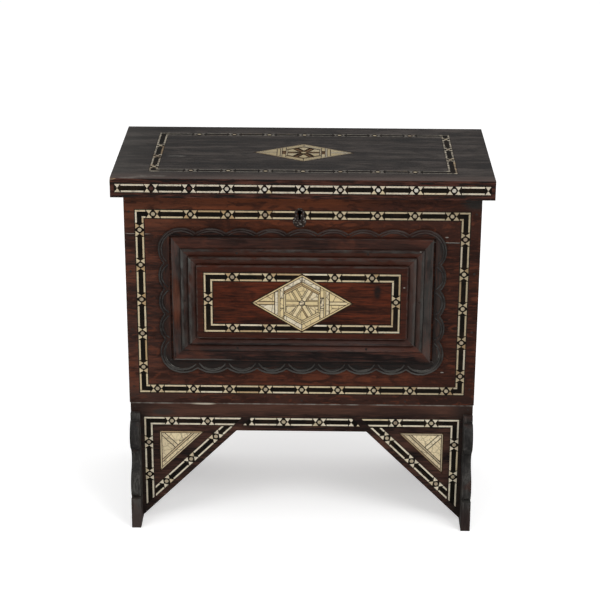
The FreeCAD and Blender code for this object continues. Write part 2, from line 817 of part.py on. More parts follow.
staple_slot_x = (tongue_x - bound.staple_clearance, tongue_x + bound.staple_tongue + bound.staple_clearance)
staple_slot = add_box("staple_slot", staple_slot_x, (lock_plate_y, lock_back_y),
                      (lock_top - bound.lock_wall - OVERCUT, lock_top + OVERCUT))


def keyhole_shape(depth):
    """A round hole with a slot below it, going in from the front."""
    round_hole = cylinder(mm.keyhole_diameter, depth, FreeCAD.Vector(), INTO_FRONT)
    slot_corner = at(-mm.keyhole_slot / 2, 0, -mm.keyhole_length)
    return round_hole.fuse(Part.makeBox(mm.keyhole_slot, depth, mm.keyhole_length, slot_corner))


keyhole_depth = mm.board_thickness + mm.lock_wall + OVERCUT * 2
keyhole = add_made("keyhole", keyhole_shape(keyhole_depth), FLAT,
                   bound.keyhole_offset, front_y - OVERCUT, key_z)
carve("lock_case", join("lock_guided", lock_shell, *guides), bolt_slot, staple_slot, keyhole, case_screws)
keep("lock_cover", add_box("lock_cover_plate", (-half_lock, half_lock),
                           (lock_back_y, lock_back_y + bound.lock_wall), (lock_low, lock_top)))
keep("lock_bolt", add_box("lock_bolt_bar", (bolt_end - bound.bolt_length, bolt_end),
                          (bolt_y - half_bolt, bolt_y + half_bolt),
                          (bolt_z - half_bolt_height, bolt_z + half_bolt_height)))
key_pin_length = bound.lock_depth - bound.lock_wall
key_pin = doc.addObject("Part::Cylinder", "key_pin_rod")
key_pin.setExpression("Radius", text_of(bound.key_pin_diameter / 2))
key_pin.setExpression("Height", text_of(key_pin_length))
place(key_pin, FRONT, bound.keyhole_offset, lock_back_y, key_z)
keep("lock_key_pin", key_pin)

# Plate around the keyhole, a disc with a round neck, let into the front, with three small nails
plate_rounds = []
for name, diameter, z in (("keyhole_plate_disc", bound.keyhole_plate_diameter, plate_z),
                          ("keyhole_plate_neck_disc", bound.keyhole_plate_neck, key_z)):
    plate_round = doc.addObject("Part::Cylinder", name)
    plate_round.setExpression("Radius", text_of(diameter / 2))
    plate_round.setExpression("Height", text_of(bound.keyhole_plate_thickness))
    place(plate_round, FRONT, bound.keyhole_offset, front_y + bound.keyhole_plate_thickness, z)
    plate_rounds.append(plate_round)
plate_blank = join("keyhole_plate_blank", *plate_rounds)
plate_nail_reach = (mm.keyhole_plate_diameter + mm.keyhole_diameter) / 4 + mm.nail_diameter / 2
plate_nail_list = []
for angle in (30, 90, 150):
    across, along = polar(plate_nail_reach, angle)
    start = at(bound.keyhole_offset + across, front_y, plate_z - along)
    plate_nail_list.append(cylinder(mm.nail_diameter / 2, mm.board_thickness / 2, start, INTO_FRONT))
plate_nails = group("keyhole_plate_nails", plate_nail_list)
carve("keyhole_plate", plate_blank, keyhole, plate_nails)

# Front board with its border
front_band_right = mm.case_width / 2 - mm.front_band_side
plate_edge = mm.keyhole_offset + mm.keyhole_plate_neck / 2
front_band = border_band(-front_band_right, front_band_right,
                         mm.front_band_bottom, mm.case_height - mm.front_band_top,
                         side_shifts=(mm.front_side_shift, mm.front_side_shift), top_skip=(0.0,),
                         top_hourglasses=(plate_edge + mm.hourglass_base / 2,))
plate_room, neck_room = [
    cylinder(diameter, mm.board_thickness,
             FreeCAD.Vector(mm.keyhole_offset, float(z - case_z), -mm.board_thickness / 2), UP)
    for diameter, z in ((mm.keyhole_plate_diameter, plate_z), (mm.keyhole_plate_neck, key_z))]
plate_room = plate_room.fuse(neck_room)
add_inlay("front_border", front_band.ground_shape().cut(plate_room), front_band.bone_shape().cut(plate_room),
          front_band.pearl_shape(), FRONT, 0, front_y, case_z)
front_groove = add_made("front_border_groove", front_band.groove_shape().cut(plate_room),
                        FRONT, 0, front_y, case_z)
case_x = (-half_width, half_width)
front_blank = add_box("front_board_blank", case_x, (front_y, inner_front_y), (case_z, rim_z))
carve("front_board", front_blank, front_groove, plate_blank, keyhole, plate_nails, board_nails,
      moulding_nails, case_screws)

# Scalloped strips around the panel, cut from one lobed frame along its mitres
scallop_inner, panel_high = float(half_panel_width) + mm.side_groove, float(half_panel_height)
scallop_right = scallop_inner + mm.scallop_side
scallop_low = -panel_high - mm.scallop_bottom
scallop_high = panel_high + mm.scallop_top
scallop_middle = (scallop_low + scallop_high) / 2
lobes_across = max(1, round(2 * (scallop_right - mm.corner_lobe) / mm.lobe_pitch))
lobes_up = max(1, round((scallop_high - scallop_low - 2 * mm.corner_lobe) / mm.side_lobe_pitch))


def lobed_outline():
    """The outer edge of the carved frame: round lobes between cusps, with a larger lobe at each corner."""
    half_across = lobes_across * mm.lobe_pitch / 2
    half_up = lobes_up * mm.side_lobe_pitch / 2
    low_cusps = [(mm.lobe_pitch * k - half_across, scallop_low + mm.lobe_depth)
                 for k in range(lobes_across + 1)]
    right_cusps = [(scallop_right - mm.lobe_depth, scallop_middle + mm.side_lobe_pitch * k - half_up)
                   for k in range(lobes_up + 1)]
    high_cusps = [(u, scallop_high - mm.lobe_depth) for u, v in reversed(low_cusps)]
    left_cusps = [(-u, v) for u, v in reversed(right_cusps)]
    # a corner lobe's circle touches the lines that the other lobes reach on both sides
    corner_run = (scallop_right - half_across + scallop_high - scallop_middle - half_up) / 2
    corner_radius = corner_run + mm.lobe_depth - math.sqrt(2 * corner_run * mm.lobe_depth)
    inset = corner_radius * (1 - math.sqrt(0.5))
    sides = ((low_cusps, (0, -1), (scallop_right - inset, scallop_low + inset)),
             (right_cusps, (1, 0), (scallop_right - inset, scallop_high - inset)),
             (high_cusps, (0, 1), (-scallop_right + inset, scallop_high - inset)),
             (left_cusps, (-1, 0), (-scallop_right + inset, scallop_low + inset)))
    arcs = []
    for index, (cusps, outward, corner) in enumerate(sides):
        for start, end in zip(cusps, cusps[1:]):
            middle = [(a + b) / 2 + o * mm.lobe_depth for a, b, o in zip(start, end, outward)]
            arcs.append((start, middle, end))
        arcs.append((cusps[-1], corner, sides[(index + 1) % 4][0][0]))
    return Part.Wire([Part.Arc(*[FreeCAD.Vector(u, v, 0) for u, v in arc]).toShape() for arc in arcs])


scallop_opening = rectangle(-scallop_inner, scallop_inner, -panel_high, panel_high)
scallop_outer = rectangle(-scallop_right, scallop_right, scallop_low, scallop_high)
lobed_frame = slab([lobed_outline(), closed_wire(scallop_opening)], 0.0, mm.scallop_thickness)
for index, side in enumerate(("bottom", "right", "top", "left")):
    inner_ends = [scallop_opening[index], scallop_opening[(index + 1) % 4]]
    outer_ends = [scallop_outer[(index + 1) % 4], scallop_outer[index]]
    sector = slab([closed_wire(inner_ends + outer_ends)], -OVERCUT, mm.scallop_thickness + OVERCUT)
    label = f"{side}_scallop"
    keep(label, add_made(label, lobed_frame.common(sector), FRONT, 0, front_y, panel_z))


def add_moulding(side, half, angle, x, z, fascia, end_fascia):
    """One mitred length of the stepped frame, from three layers that narrow towards the panel."""
    layers = []
    # the mitre runs through the corners of the outer edge, of each step's nose and of the inner edge
    mitre = [(half, 0)]
    for step in range(3):
        stepped = bound.step_width * step
        mitre.append((half - end_fascia - stepped, fascia + stepped))
    for step in range(3):
        layers.append((mirror_corners(mitre[step:]), bound.fascia_thickness + bound.step_rise * step))
    body = add_body(f"{side}_moulding_blank", *layers)
    place(body, FRONT * FreeCAD.Rotation(UP, angle), x, front_y, z)
    carve(f"{side}_moulding", body, moulding_nails)


level_fascias = (bound.fascia_width, bound.side_fascia_width)
upright_fascias = (bound.side_fascia_width, bound.fascia_width)
add_moulding("bottom", half_panel_width, 0, 0, panel_z - half_panel_height, *level_fascias)
add_moulding("top", half_panel_width, 180, 0, panel_z + half_panel_height, *level_fascias)
add_moulding("left", half_panel_height, -90, -half_panel_width, panel_z, *upright_fascias)
add_moulding("right", half_panel_height, 90, half_panel_width, panel_z, *upright_fascias)

# Raised field with its border and diamond
half_field = half_panel_width - side_frame_width
half_field_height = half_panel_height - frame_width
field_face_y = front_y - field_thickness
medallion = medallion_pieces()
mosaic_outer = moved_corners(diamond(mm.medallion_width / 2, mm.medallion_height / 2), -mm.mosaic_outline)
mosaic_room = slab([closed_wire(mosaic_outer)], -mm.inlay_depth, OVERCUT)
field_band = border_band(-float(half_field) + mm.field_band_margin, float(half_field) - mm.field_band_margin,
                         -float(half_field_height) + mm.field_band_margin,
                         float(half_field_height) - mm.field_band_margin, top_first=mm.field_first_unit,
                         side_shifts=(mm.field_right_shift, mm.field_left_shift))
add_inlay("field_border", field_band.ground_shape().cut(mosaic_room),
          field_band.bone_shape().cut(mosaic_room), field_band.pearl_shape(), FRONT, 0, field_face_y, panel_z)
add_inlay("field_medallion", *mosaic_shapes(mosaic_outer, medallion.bone + medallion.lost_bone,
                                            medallion.pearl + medallion.lost_pearl),
          FRONT, 0, field_face_y, panel_z)
field_groove = add_made("field_border_groove", field_band.groove_shape(), FRONT, 0, field_face_y, panel_z)
medallion_recess = add_made("field_medallion_recess", mosaic_room, FRONT, 0, field_face_y, panel_z)
field_blank = add_box("field_panel_blank", (-half_field, half_field), (field_face_y, front_y),
                      (panel_z - half_field_height, panel_z + half_field_height))
carve("field_panel", field_blank, field_groove, medallion_recess)

# Other boards of the case
side_y = (inner_front_y, inner_back_y)
for name, side_x in (("left", (-half_width, -inner_half)), ("right", (inner_half, half_width))):
    carve(f"{name}_side_board", add_box(f"{name}_side_blank", side_x, side_y, (case_z, rim_z)), board_nails)
bottom_blank = add_box("bottom_blank", (-inner_half, inner_half), side_y,
                       (case_z, case_z + bound.bottom_thickness))
carve("bottom_board", bottom_blank, board_nails)

# Hinges: two butts whose knuckles stand behind the back board, under the lid's overhang


def leaf_shape(centre_x, low, high, knuckles, hole):
    """A leaf with its own knuckles; low and high are the leaf's faces, hole the pin's bore."""
    leaf = Part.makeBox(mm.hinge_length, mm.leaf_width, high - low,
                        at(centre_x - mm.hinge_length / 2, leaf_y[0], low))
    for start, end in knuckles:
        begin = at(centre_x + start, axis_y, axis_z)
        leaf = leaf.fuse(cylinder(mm.knuckle_diameter, end - start, begin, TO_RIGHT))
        reach = float(axis_y - back_y)
        leaf = leaf.fuse(Part.makeBox(end - start, reach, high - low, at(centre_x + start, back_y, low)))
    bore = cylinder(hole, mm.hinge_length, at(centre_x - mm.hinge_length / 2, axis_y, axis_z), TO_RIGHT)
    return leaf.cut(bore).removeSplitter()


half_third = mm.hinge_length / 6
inner_knuckles = [(-half_third, half_third)]
outer_knuckles = [(-mm.hinge_length / 2, -half_third - mm.knuckle_gap),
                  (half_third + mm.knuckle_gap, mm.hinge_length / 2)]
case_leaves, lid_leaves, pins = [], [], []
leaf_rooms, lid_rooms = [], []
for side in (-1, 1):
    centre = side * mm.hinge_spacing / 2
    case_leaves.append(leaf_shape(centre, float(rim_z - bound.leaf_thickness), float(rim_z), outer_knuckles,
                                  mm.hinge_pin_diameter))
    lid_leaves.append(leaf_shape(centre, float(lid_z), float(lid_z + bound.leaf_thickness), inner_knuckles,
                                 mm.hinge_pin_diameter + 2 * mm.pin_clearance))
    pins.append(cylinder(mm.hinge_pin_diameter, mm.hinge_length,
                         at(centre - mm.hinge_length / 2, axis_y, axis_z), TO_RIGHT))
    span = (centre - bound.hinge_length / 2, centre + bound.hinge_length / 2)
    name = "left" if side < 0 else "right"
    leaf_rooms.append(add_box(f"{name}_case_leaf_room", span, leaf_y, (rim_z - bound.leaf_thickness, rim_z)))
    lid_rooms.append(add_box(f"{name}_lid_leaf_room", span, leaf_y, (lid_z, lid_z + bound.leaf_thickness)))
    room = knuckle + bound.knuckle_gap * 2
    room_x = (span[0] - bound.knuckle_gap, span[1] + bound.knuckle_gap)
    lid_rooms.append(add_box(f"{name}_knuckle_room", room_x, (back_y, axis_y + room), (lid_z, axis_z + room)))
group("hinge_pins", pins)
carve("hinge_case_leaves", add_made("case_leaf_blanks", Part.makeCompound(case_leaves)), case_screws)
carve("hinge_lid_leaves", add_made("lid_leaf_blanks", Part.makeCompound(lid_leaves)), lid_screws)
back_blank = add_box("back_board_blank", case_x, (inner_back_y, back_y), (case_z, rim_z))
carve("back_board", back_blank, board_nails, case_screws, *leaf_rooms)

# Staple under the lid: a plate with a tongue whose eye takes the bolt
plate_y = (bolt_y - bound.staple_width * 0.75, bolt_y + bound.staple_width * 0.75)
staple_plate = add_box("staple_plate", (staple_middle - half_staple, staple_middle + half_staple), plate_y,
                       (lid_z, lid_z + bound.lock_wall))
tongue = add_box("staple_tongue", (tongue_x, tongue_x + bound.staple_tongue),
                 (bolt_y - bound.staple_width / 2, bolt_y + bound.staple_width / 2),
                 (lid_z - bound.staple_length, lid_z + bound.lock_wall))
eye_y = half_bolt + bound.staple_clearance
eye_z = half_bolt_height + bound.staple_clearance
eye = add_box("staple_eye", (tongue_x - OVERCUT, tongue_x + bound.staple_tongue + OVERCUT),
              (bolt_y - eye_y, bolt_y + eye_y), (bolt_z - eye_z, bolt_z + eye_z))
carve("lid_staple", join("staple_blank", staple_plate, tongue), eye, lid_screws)

# Lid with its edge band, border and diamond
lid_half = half_width + bound.lid_overhang
lid_front_y = front_y - bound.lid_overhang
lid_back_y = back_y + bound.lid_overhang
edge_length = 2 * (float(lid_half) - mm.lid_edge_margin)
edge_band = Band()
edge_units = unit_places(edge_length)
edge_ends = mm.hourglass_base / 2 + mm.stringing
edge_band.add_run((-edge_length / 2, mm.lid_thickness / 2), 0.0, edge_length, edge_units,
                  -mm.stringing, -mm.stringing, (edge_ends, edge_length - edge_ends))
edge_half = mm.band_width / 2 + mm.stringing
edge_band.add_ground(rectangle(-edge_length / 2, edge_length / 2,
                               mm.lid_thickness / 2 - edge_half, mm.lid_thickness / 2 + edge_half))
add_inlay("lid_edge", edge_band.ground_shape(), edge_band.bone_shape(), edge_band.pearl_shape(),
          FRONT, 0, lid_front_y, lid_z)
edge_groove = add_made("lid_edge_groove", edge_band.groove_shape(), FRONT, 0, lid_front_y, lid_z)

lid_depth = float(lid_back_y - lid_front_y)
lid_band = border_band(-float(lid_half) + mm.lid_band_side, float(lid_half) - mm.lid_band_side,
                       mm.lid_band_end - lid_depth / 2, lid_depth / 2 - mm.lid_band_end,
                       side_shifts=(mm.lid_side_shift, mm.lid_side_shift))
lid_middle_y = (lid_front_y + lid_back_y) / 2
add_inlay("lid_border", lid_band.ground_shape(), lid_band.bone_shape(), lid_band.pearl_shape(),
          FLAT, 0, lid_middle_y, top_z)
add_inlay("lid_medallion", *mosaic_shapes(mosaic_outer, medallion.bone, medallion.pearl,
                                          medallion.lost_bone + medallion.lost_pearl),
          FLAT, 0, lid_middle_y, top_z)
lid_groove = add_made("lid_border_groove", lid_band.groove_shape(), FLAT, 0, lid_middle_y, top_z)
lid_recess = add_made("lid_medallion_recess", mosaic_room, FLAT, 0, lid_middle_y, top_z)
lid_blank = add_box("lid_blank", (-lid_half, lid_half), (lid_front_y, lid_back_y), (lid_z, top_z))
carve("lid_board", lid_blank, edge_groove, lid_groove, lid_recess, lid_screws, staple_plate, *lid_rooms)

# Apron: a full-width rail that laps over the stand's sides, and a pointed leg down each side board
apron_corners = mirror_corners([
    (stand_half, bound.stand_height), (stand_half, bracket_z), (foot_inner, bracket_z),
    (foot_inner, bound.apron_tip), (half_opening, rail_z)])
apron_body = add_body("front_apron_blank", (apron_corners, bound.stand_board))
place(apron_body, FRONT, 0, apron_y + bound.stand_board, 0)

apron_band = Band()
half_band = mm.band_width / 2
band_top = mm.stand_height - mm.apron_band_top
band_side = float(foot_inner) - mm.apron_band_side
opening_corner = (float(half_opening), float(rail_z))
apron_foot = (float(foot_inner), mm.apron_tip)
slope_angle = math.atan2(apron_foot[1] - opening_corner[1], apron_foot[0] - opening_corner[0])
slope = (math.cos(slope_angle), math.sin(slope_angle))
out_of_wood = (slope[1], -slope[0])
margin_point = tuple(a - o * mm.apron_band_edge for a, o in zip(opening_corner, out_of_wood))
edge = mm.stringing
inner_side = band_side - mm.band_width
inner_top = band_top - mm.band_width
FAR = mm.case_width
right_pieces = Band()
corner_limits = ((margin_point, out_of_wood),)
# the level stretch from the corner towards the middle, then the upright one
level_length = band_side - half_band
corner_middle = (band_side - half_band, band_top - half_band)
corner_units = [mm.apron_first_unit, mm.apron_first_unit + mm.band_pitch]
right_pieces.add_run(corner_middle, math.pi, level_length, corner_units,
                     -(half_band - mm.bone_line), half_band, (), corner_limits)
right_pieces.add_run(corner_middle, -math.pi / 2, FAR, corner_units,
                     half_band - mm.bone_line - mm.joint_gap, -half_band - mm.joint_gap, (), corner_limits)
corner_ground = [(0.0, inner_top - edge), (inner_side - edge, inner_top - edge), (inner_side - edge, -FAR),
                 (band_side + edge, -FAR), (band_side + edge, band_top + edge), (0.0, band_top + edge)]
right_pieces.add_ground(clip(corner_ground, margin_point, out_of_wood))
# the slanted stretch beside the opening
slant_start = tuple(a - o * (mm.apron_band_edge + half_band) for a, o in zip(opening_corner, out_of_wood))
level_limit = ((0.0, inner_top - edge * 2), (0.0, 1.0))
upright_limit = ((inner_side - edge * 2, 0.0), (1.0, 0.0))
run_top = (slant_start[1] - level_limit[0][1]) / slope[1]
run_low = (upright_limit[0][0] - slant_start[0]) / slope[0]
slant_origin = (slant_start[0] - slope[0] * run_top, slant_start[1] - slope[1] * run_top)
slant_length = run_low + run_top
slant_units = [slant_length / 2 + step * mm.band_pitch for step in (-1, 0, 1)]
slant_limits = (level_limit, upright_limit)
right_pieces.add_run(slant_origin, slope_angle, slant_length, slant_units,
                     mm.band_width, mm.band_width, (), slant_limits)
slant_strip = rectangle(-mm.band_width, slant_length + mm.band_width, -half_band - edge, half_band + edge)
slant_ground = turned_to(slant_strip, slant_origin, slope_angle)
for anchor, outward in slant_limits:
    slant_ground = clip(slant_ground, anchor, outward)
right_pieces.add_ground(slant_ground)
for way in (-1, 1):
    apron_band.bone += [[(way * u, v) for u, v in piece] for piece in right_pieces.bone]
    apron_band.dots += [(way * u, v) for u, v in right_pieces.dots]
    for outline, opening in right_pieces.grounds:
        apron_band.add_ground([(way * u, v) for u, v in outline])
# the stretch in the middle of the rail, cut on the slant at both ends
middle_limits = [((way * opening_corner[0], opening_corner[1]), (way * -out_of_wood[0], -out_of_wood[1]))
                 for way in (-1, 1)]
middle_half = float(half_opening)
middle_units = [middle_half + mm.band_pitch * share for share in (-1.5, -0.5, 0.5, 1.5)]
apron_band.add_run((-middle_half, band_top - half_band), 0.0, 2 * middle_half, middle_units,
                   0.0, 0.0, (), middle_limits)
middle_ground = rectangle(-middle_half, middle_half, inner_top - edge, band_top + edge)
for anchor, outward in middle_limits:
    middle_ground = clip(middle_ground, anchor, outward)
apron_band.add_ground(middle_ground)
add_inlay("apron_border", apron_band.ground_shape(), apron_band.bone_shape(), apron_band.pearl_shape(),
          FRONT, 0, apron_y, 0)
apron_groove = add_made("apron_border_groove", apron_band.groove_shape(), FRONT, 0, apron_y, 0)

# Mosaic triangles in the apron's corners
plate_side, plate_top = inner_side - mm.plate_margin, inner_top - mm.plate_margin
plate_edge_reach = mm.apron_band_edge + mm.band_width + mm.plate_gap
plate_slant = tuple(a - o * plate_edge_reach for a, o in zip(opening_corner, out_of_wood))
plate_corners = [(plate_side, plate_top),
                 (plate_slant[0] + (plate_top - plate_slant[1]) * slope[0] / slope[1], plate_top),
                 (plate_side, plate_slant[1] + (plate_side - plate_slant[0]) * slope[1] / slope[0])]
plate_shapes = []
plate_rooms = []
for way in (-1, 1):
    corner, level_end, upright_end = [(way * u, v) for u, v in plate_corners]
    ends = (level_end, upright_end) if way > 0 else (upright_end, level_end)
    plate = plate_pieces(corner, *ends)
    plate_outline = moved_corners(plate.outer, -edge)
    plate_shapes.append(mosaic_shapes(plate_outline, plate.bone, plate.pearl))
    plate_rooms.append(slab([closed_wire(plate_outline)], -mm.inlay_depth, OVERCUT))
add_inlay("apron_plate", *[Part.makeCompound(pair) for pair in zip(*plate_shapes)], FRONT, 0, apron_y, 0)
plate_recess = add_made("apron_plate_recess", Part.makeCompound(plate_rooms), FRONT, 0, apron_y, 0)
carve("front_apron", apron_body, apron_groove, plate_recess, board_nails)

# Back apron: the same opening, fitted between the side boards
back_corners = mirror_corners([(foot_inner, bound.stand_height), (foot_inner, bound.apron_tip),
                               (half_opening, rail_z)])
back_body = add_body("back_apron_blank", (back_corners, bound.stand_board))
place(back_body, FRONT, 0, stand_back_y, 0)
carve("back_apron", back_body, board_nails)

# Side boards of the stand, with the wavy foot in front and an opening between the feet
stand_depth = bound.case_depth - bound.stand_inset * 2
ledge_z = bracket_z - bound.ledge_drop
neck_z = ledge_z - bound.neck_drop
waist_z = neck_z - bound.waist_drop
opening_z = bound.side_opening_height
side_corners = [
    (bound.stand_board, bound.stand_height),
    (bound.stand_board, bracket_z),
    (-bound.bracket_reach, bracket_z),
    (-bound.bracket_reach, ledge_z),
    (-bound.ledge_reach, ledge_z, bound.upper_swell),
    (-bound.neck_reach, neck_z, -bound.waist_hollow),
    (-bound.neck_reach, waist_z, bound.lower_swell),
    (-bound.plinth_neck_reach, bound.plinth_height),
    (-bound.plinth_reach, bound.plinth_height),
    (-bound.foot_projection, 0),
    (bound.front_foot_length, 0),
    (bound.front_foot_length + opening_z, opening_z),
    (stand_depth - bound.rear_foot_length - opening_z, opening_z),
    (stand_depth - bound.rear_foot_length, 0),
    (stand_depth, 0),
    (stand_depth, bound.stand_height),
]
for name, side_x in (("left", -stand_half), ("right", foot_inner)):
    side_body = add_body(f"{name}_stand_side_blank", (side_corners, bound.stand_board))
    place(side_body, SIDE, side_x, apron_y, 0)
    carve(f"{name}_stand_side", side_body, board_nails)

# Glue blocks in the stand's corners, under the case
block_list = []
for side in (-1, 1):
    for block_y in (apron_y + bound.stand_board, stand_back_y - bound.stand_board - bound.glue_block_side):
        block_x = foot_inner - bound.glue_block_side if side > 0 else -foot_inner
        block_list.append(Part.makeBox(mm.glue_block_side, mm.glue_block_side, mm.glue_block_height,
                                       at(block_x, block_y, bound.stand_height - bound.glue_block_height)))
block_blanks = add_made("glue_block_blanks", Part.makeCompound(block_list))
carve("stand_glue_blocks", block_blanks, board_nails)

doc.recompute()
for piece in doc.Objects:
    if "Invalid" in piece.State or "Error" in piece.State:
        raise RuntimeError(f"{piece.Label} failed: {piece.State}")
for piece in parts:
    if piece.Shape.isNull() or not piece.Shape.isValid() or not piece.Shape.Solids:
        raise RuntimeError(f"{piece.Label} has no valid solid")

os.makedirs("parts", exist_ok=True)
for piece in parts:
    piece.Shape.exportStep(f"parts/{piece.Label}.step")
print(len(parts), "sub-parts,", sum(len(piece.Shape.Solids) for piece in parts), "solids")
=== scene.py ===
"""Looks of an inlaid wooden chest on its stand: boards, carving, inlay, ironwork and stage."""

import math
import random

import bmesh
import bpy
from bpy.props import FloatProperty, FloatVectorProperty, IntProperty, PointerProperty
from mathutils import Matrix, Vector


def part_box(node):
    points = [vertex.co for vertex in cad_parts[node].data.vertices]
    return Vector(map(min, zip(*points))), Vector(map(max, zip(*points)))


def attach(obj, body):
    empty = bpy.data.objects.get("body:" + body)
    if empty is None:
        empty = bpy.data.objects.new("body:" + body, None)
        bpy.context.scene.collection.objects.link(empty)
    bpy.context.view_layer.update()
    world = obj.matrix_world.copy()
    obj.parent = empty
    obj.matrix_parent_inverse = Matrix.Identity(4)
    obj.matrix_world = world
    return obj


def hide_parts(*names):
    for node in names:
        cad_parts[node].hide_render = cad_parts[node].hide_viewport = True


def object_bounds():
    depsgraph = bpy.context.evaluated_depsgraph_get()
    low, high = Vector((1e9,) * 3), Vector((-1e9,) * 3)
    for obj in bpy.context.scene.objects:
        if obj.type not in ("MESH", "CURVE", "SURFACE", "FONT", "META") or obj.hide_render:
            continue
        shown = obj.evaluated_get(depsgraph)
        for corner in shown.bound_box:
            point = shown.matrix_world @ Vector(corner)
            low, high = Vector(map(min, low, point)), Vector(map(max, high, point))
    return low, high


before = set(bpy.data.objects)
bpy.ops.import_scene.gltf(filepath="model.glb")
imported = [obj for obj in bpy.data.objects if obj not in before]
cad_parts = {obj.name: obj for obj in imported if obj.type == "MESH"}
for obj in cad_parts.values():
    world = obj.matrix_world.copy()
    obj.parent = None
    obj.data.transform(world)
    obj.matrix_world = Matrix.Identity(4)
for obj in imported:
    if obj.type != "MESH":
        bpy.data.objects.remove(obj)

bl_info = {
    "name": "Inlaid Chest",
    "version": (1, 0, 0),
    "blender": (4, 5, 0),
    "location": "View3D > Sidebar > Chest",
    "description": "Dresses the chest's boards, carving, inlay and ironwork",
    "category": "Object",
}

CAD_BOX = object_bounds()
MM = 0.001

# how the solids' triangles are joined, and which of their corners and faces count
MERGE_DISTANCE = 0.0001 * MM
FLAT_ANGLE = math.radians(0.5)
CORNER_ANGLE = math.radians(25)
SQUARE = 0.99

# least width of the faces beside a corner that gets rounded
BOARD_LEAST = 4.0 * MM
FIELD_LEAST = 2.5 * MM
STRIP_LEAST = 1.5 * MM
IRON_LEAST = 1.0 * MM

# how far each plain board's figure is moved, so that no two look alike
FIGURE_SHIFT = {"lid_board": 5.3, "back_board": 0.7, "bottom_board": 1.9, "back_apron": 3.2,
                "stand_glue_blocks": 4.1}

# mouldings: how worn, how dark in the grooves and how rubbed a face of the section is, and how much
# of it each side shows; the wear's grey is partly a painted highlight on the noses, and the
# grooves' dark is grime with painted shade
MOULDING_MARKS = ("wear_and_highlight", "dirt", "rubbed")
PLAIN, OUTER_EDGE, GROOVE, NOSE = (0, 0, 0), (0.6, 0, 0), (0, 1, 0), (1, 0, 0)
TREAD = ((0.15, (0.4, 0, 1)), (0.6, (0.2, 0, 1)))  # share of the tread's width, marks
NOSE_TURNS = [math.radians(angle) for angle in (0, 22.5, 45, 67.5, 90)]
MOULDINGS = {"top": ("X", (0.7, 0.2, 0.9)), "bottom": ("X", (0.25, 1.0, 0.4)),
             "left": ("Z", (0.95, 1.0, 0.15)), "right": ("Z", (0.7, 1.0, 0.25))}

# beads of the carving: their rings, their taper, and how uneven the knife leaves them
BEAD_CORNERS = 10
BEAD_STEP = 2 * MM
LEAST_STEPS = 8
BEAD_END = 0.55
BEAD_RISES = (0.7, 1.0)
BEAD_WIDTHS = (0.9, 1.05)
KNIFE_SIZES = (0.9, 1.0)
KNIFE_SWAY = (-0.1, 0.1)
INNER_BEAD = 1.45  # the inner bead's distance from the lobe's edge, in bead widths
# the dusty line below is a pale line painted as a highlight
LINE_LIFT, LINE_TUCK = 1 / 3, 4  # the dusty line's ends, beside those of the inner bead
ROOM_SHARE = 0.8
# how narrowly the grey wear, partly a painted highlight, keeps to the crests that face front
CREST_HIGHLIGHT_SHARPNESS = 6

# inlay: the kinds of slips in each border and plate; the rest are "clean" bone and "dots" of shell
INLAY_STEMS = ("lid_edge", "lid_border", "lid_medallion", "front_border", "field_border",
               "field_medallion", "apron_border", "apron_plate")
BONE_KIND = {"lid_edge": "dry", "lid_border": "worn", "lid_medallion": "dull",
             "field_medallion": "plates", "apron_border": "pale"}
SHELL_KIND = {"lid_edge": "edge", "lid_medallion": "dull", "field_medallion": "plates",
              "apron_plate": "cracked"}
BORDER_WIDTH = 13.0 * MM
TRIANGLE_FACES = 5
RIM_SHARE = 0.13

# studio, in metres; the camera's frame in millimetres
FLOOR_REACH = 14
FLOOR_DROP = 0.2 * MM
FLOOR_DUST = (0.8, 0.8, 0.8)
WHITE = (1, 1, 1, 1)
CEILING_BACK = 1
SOFT_BOX_SIZE = (1.6, 1.2)
SOFT_BOX_PLACE = (1.7, -1.9, 2.3)
SOFT_BOX_AIM = (0, 0, 0.3)
SENSOR_WIDTH = 36


def length(name, description, default):
    """A size in metres."""
    return FloatProperty(name=name, description=description, default=default, unit="LENGTH",
                         precision=5)


def amount(name, description, default, subtype="NONE"):
    """A plain number, an angle or a power."""
    return FloatProperty(name=name, description=description, default=default, subtype=subtype)


def number(name, description, default):
    """A count."""
    return IntProperty(name=name, description=description, default=default)


def colour(name, description, default):
    """A linear colour."""
    return FloatVectorProperty(name=name, description=description, default=default, size=3,
                               subtype="COLOR", min=0, max=1)


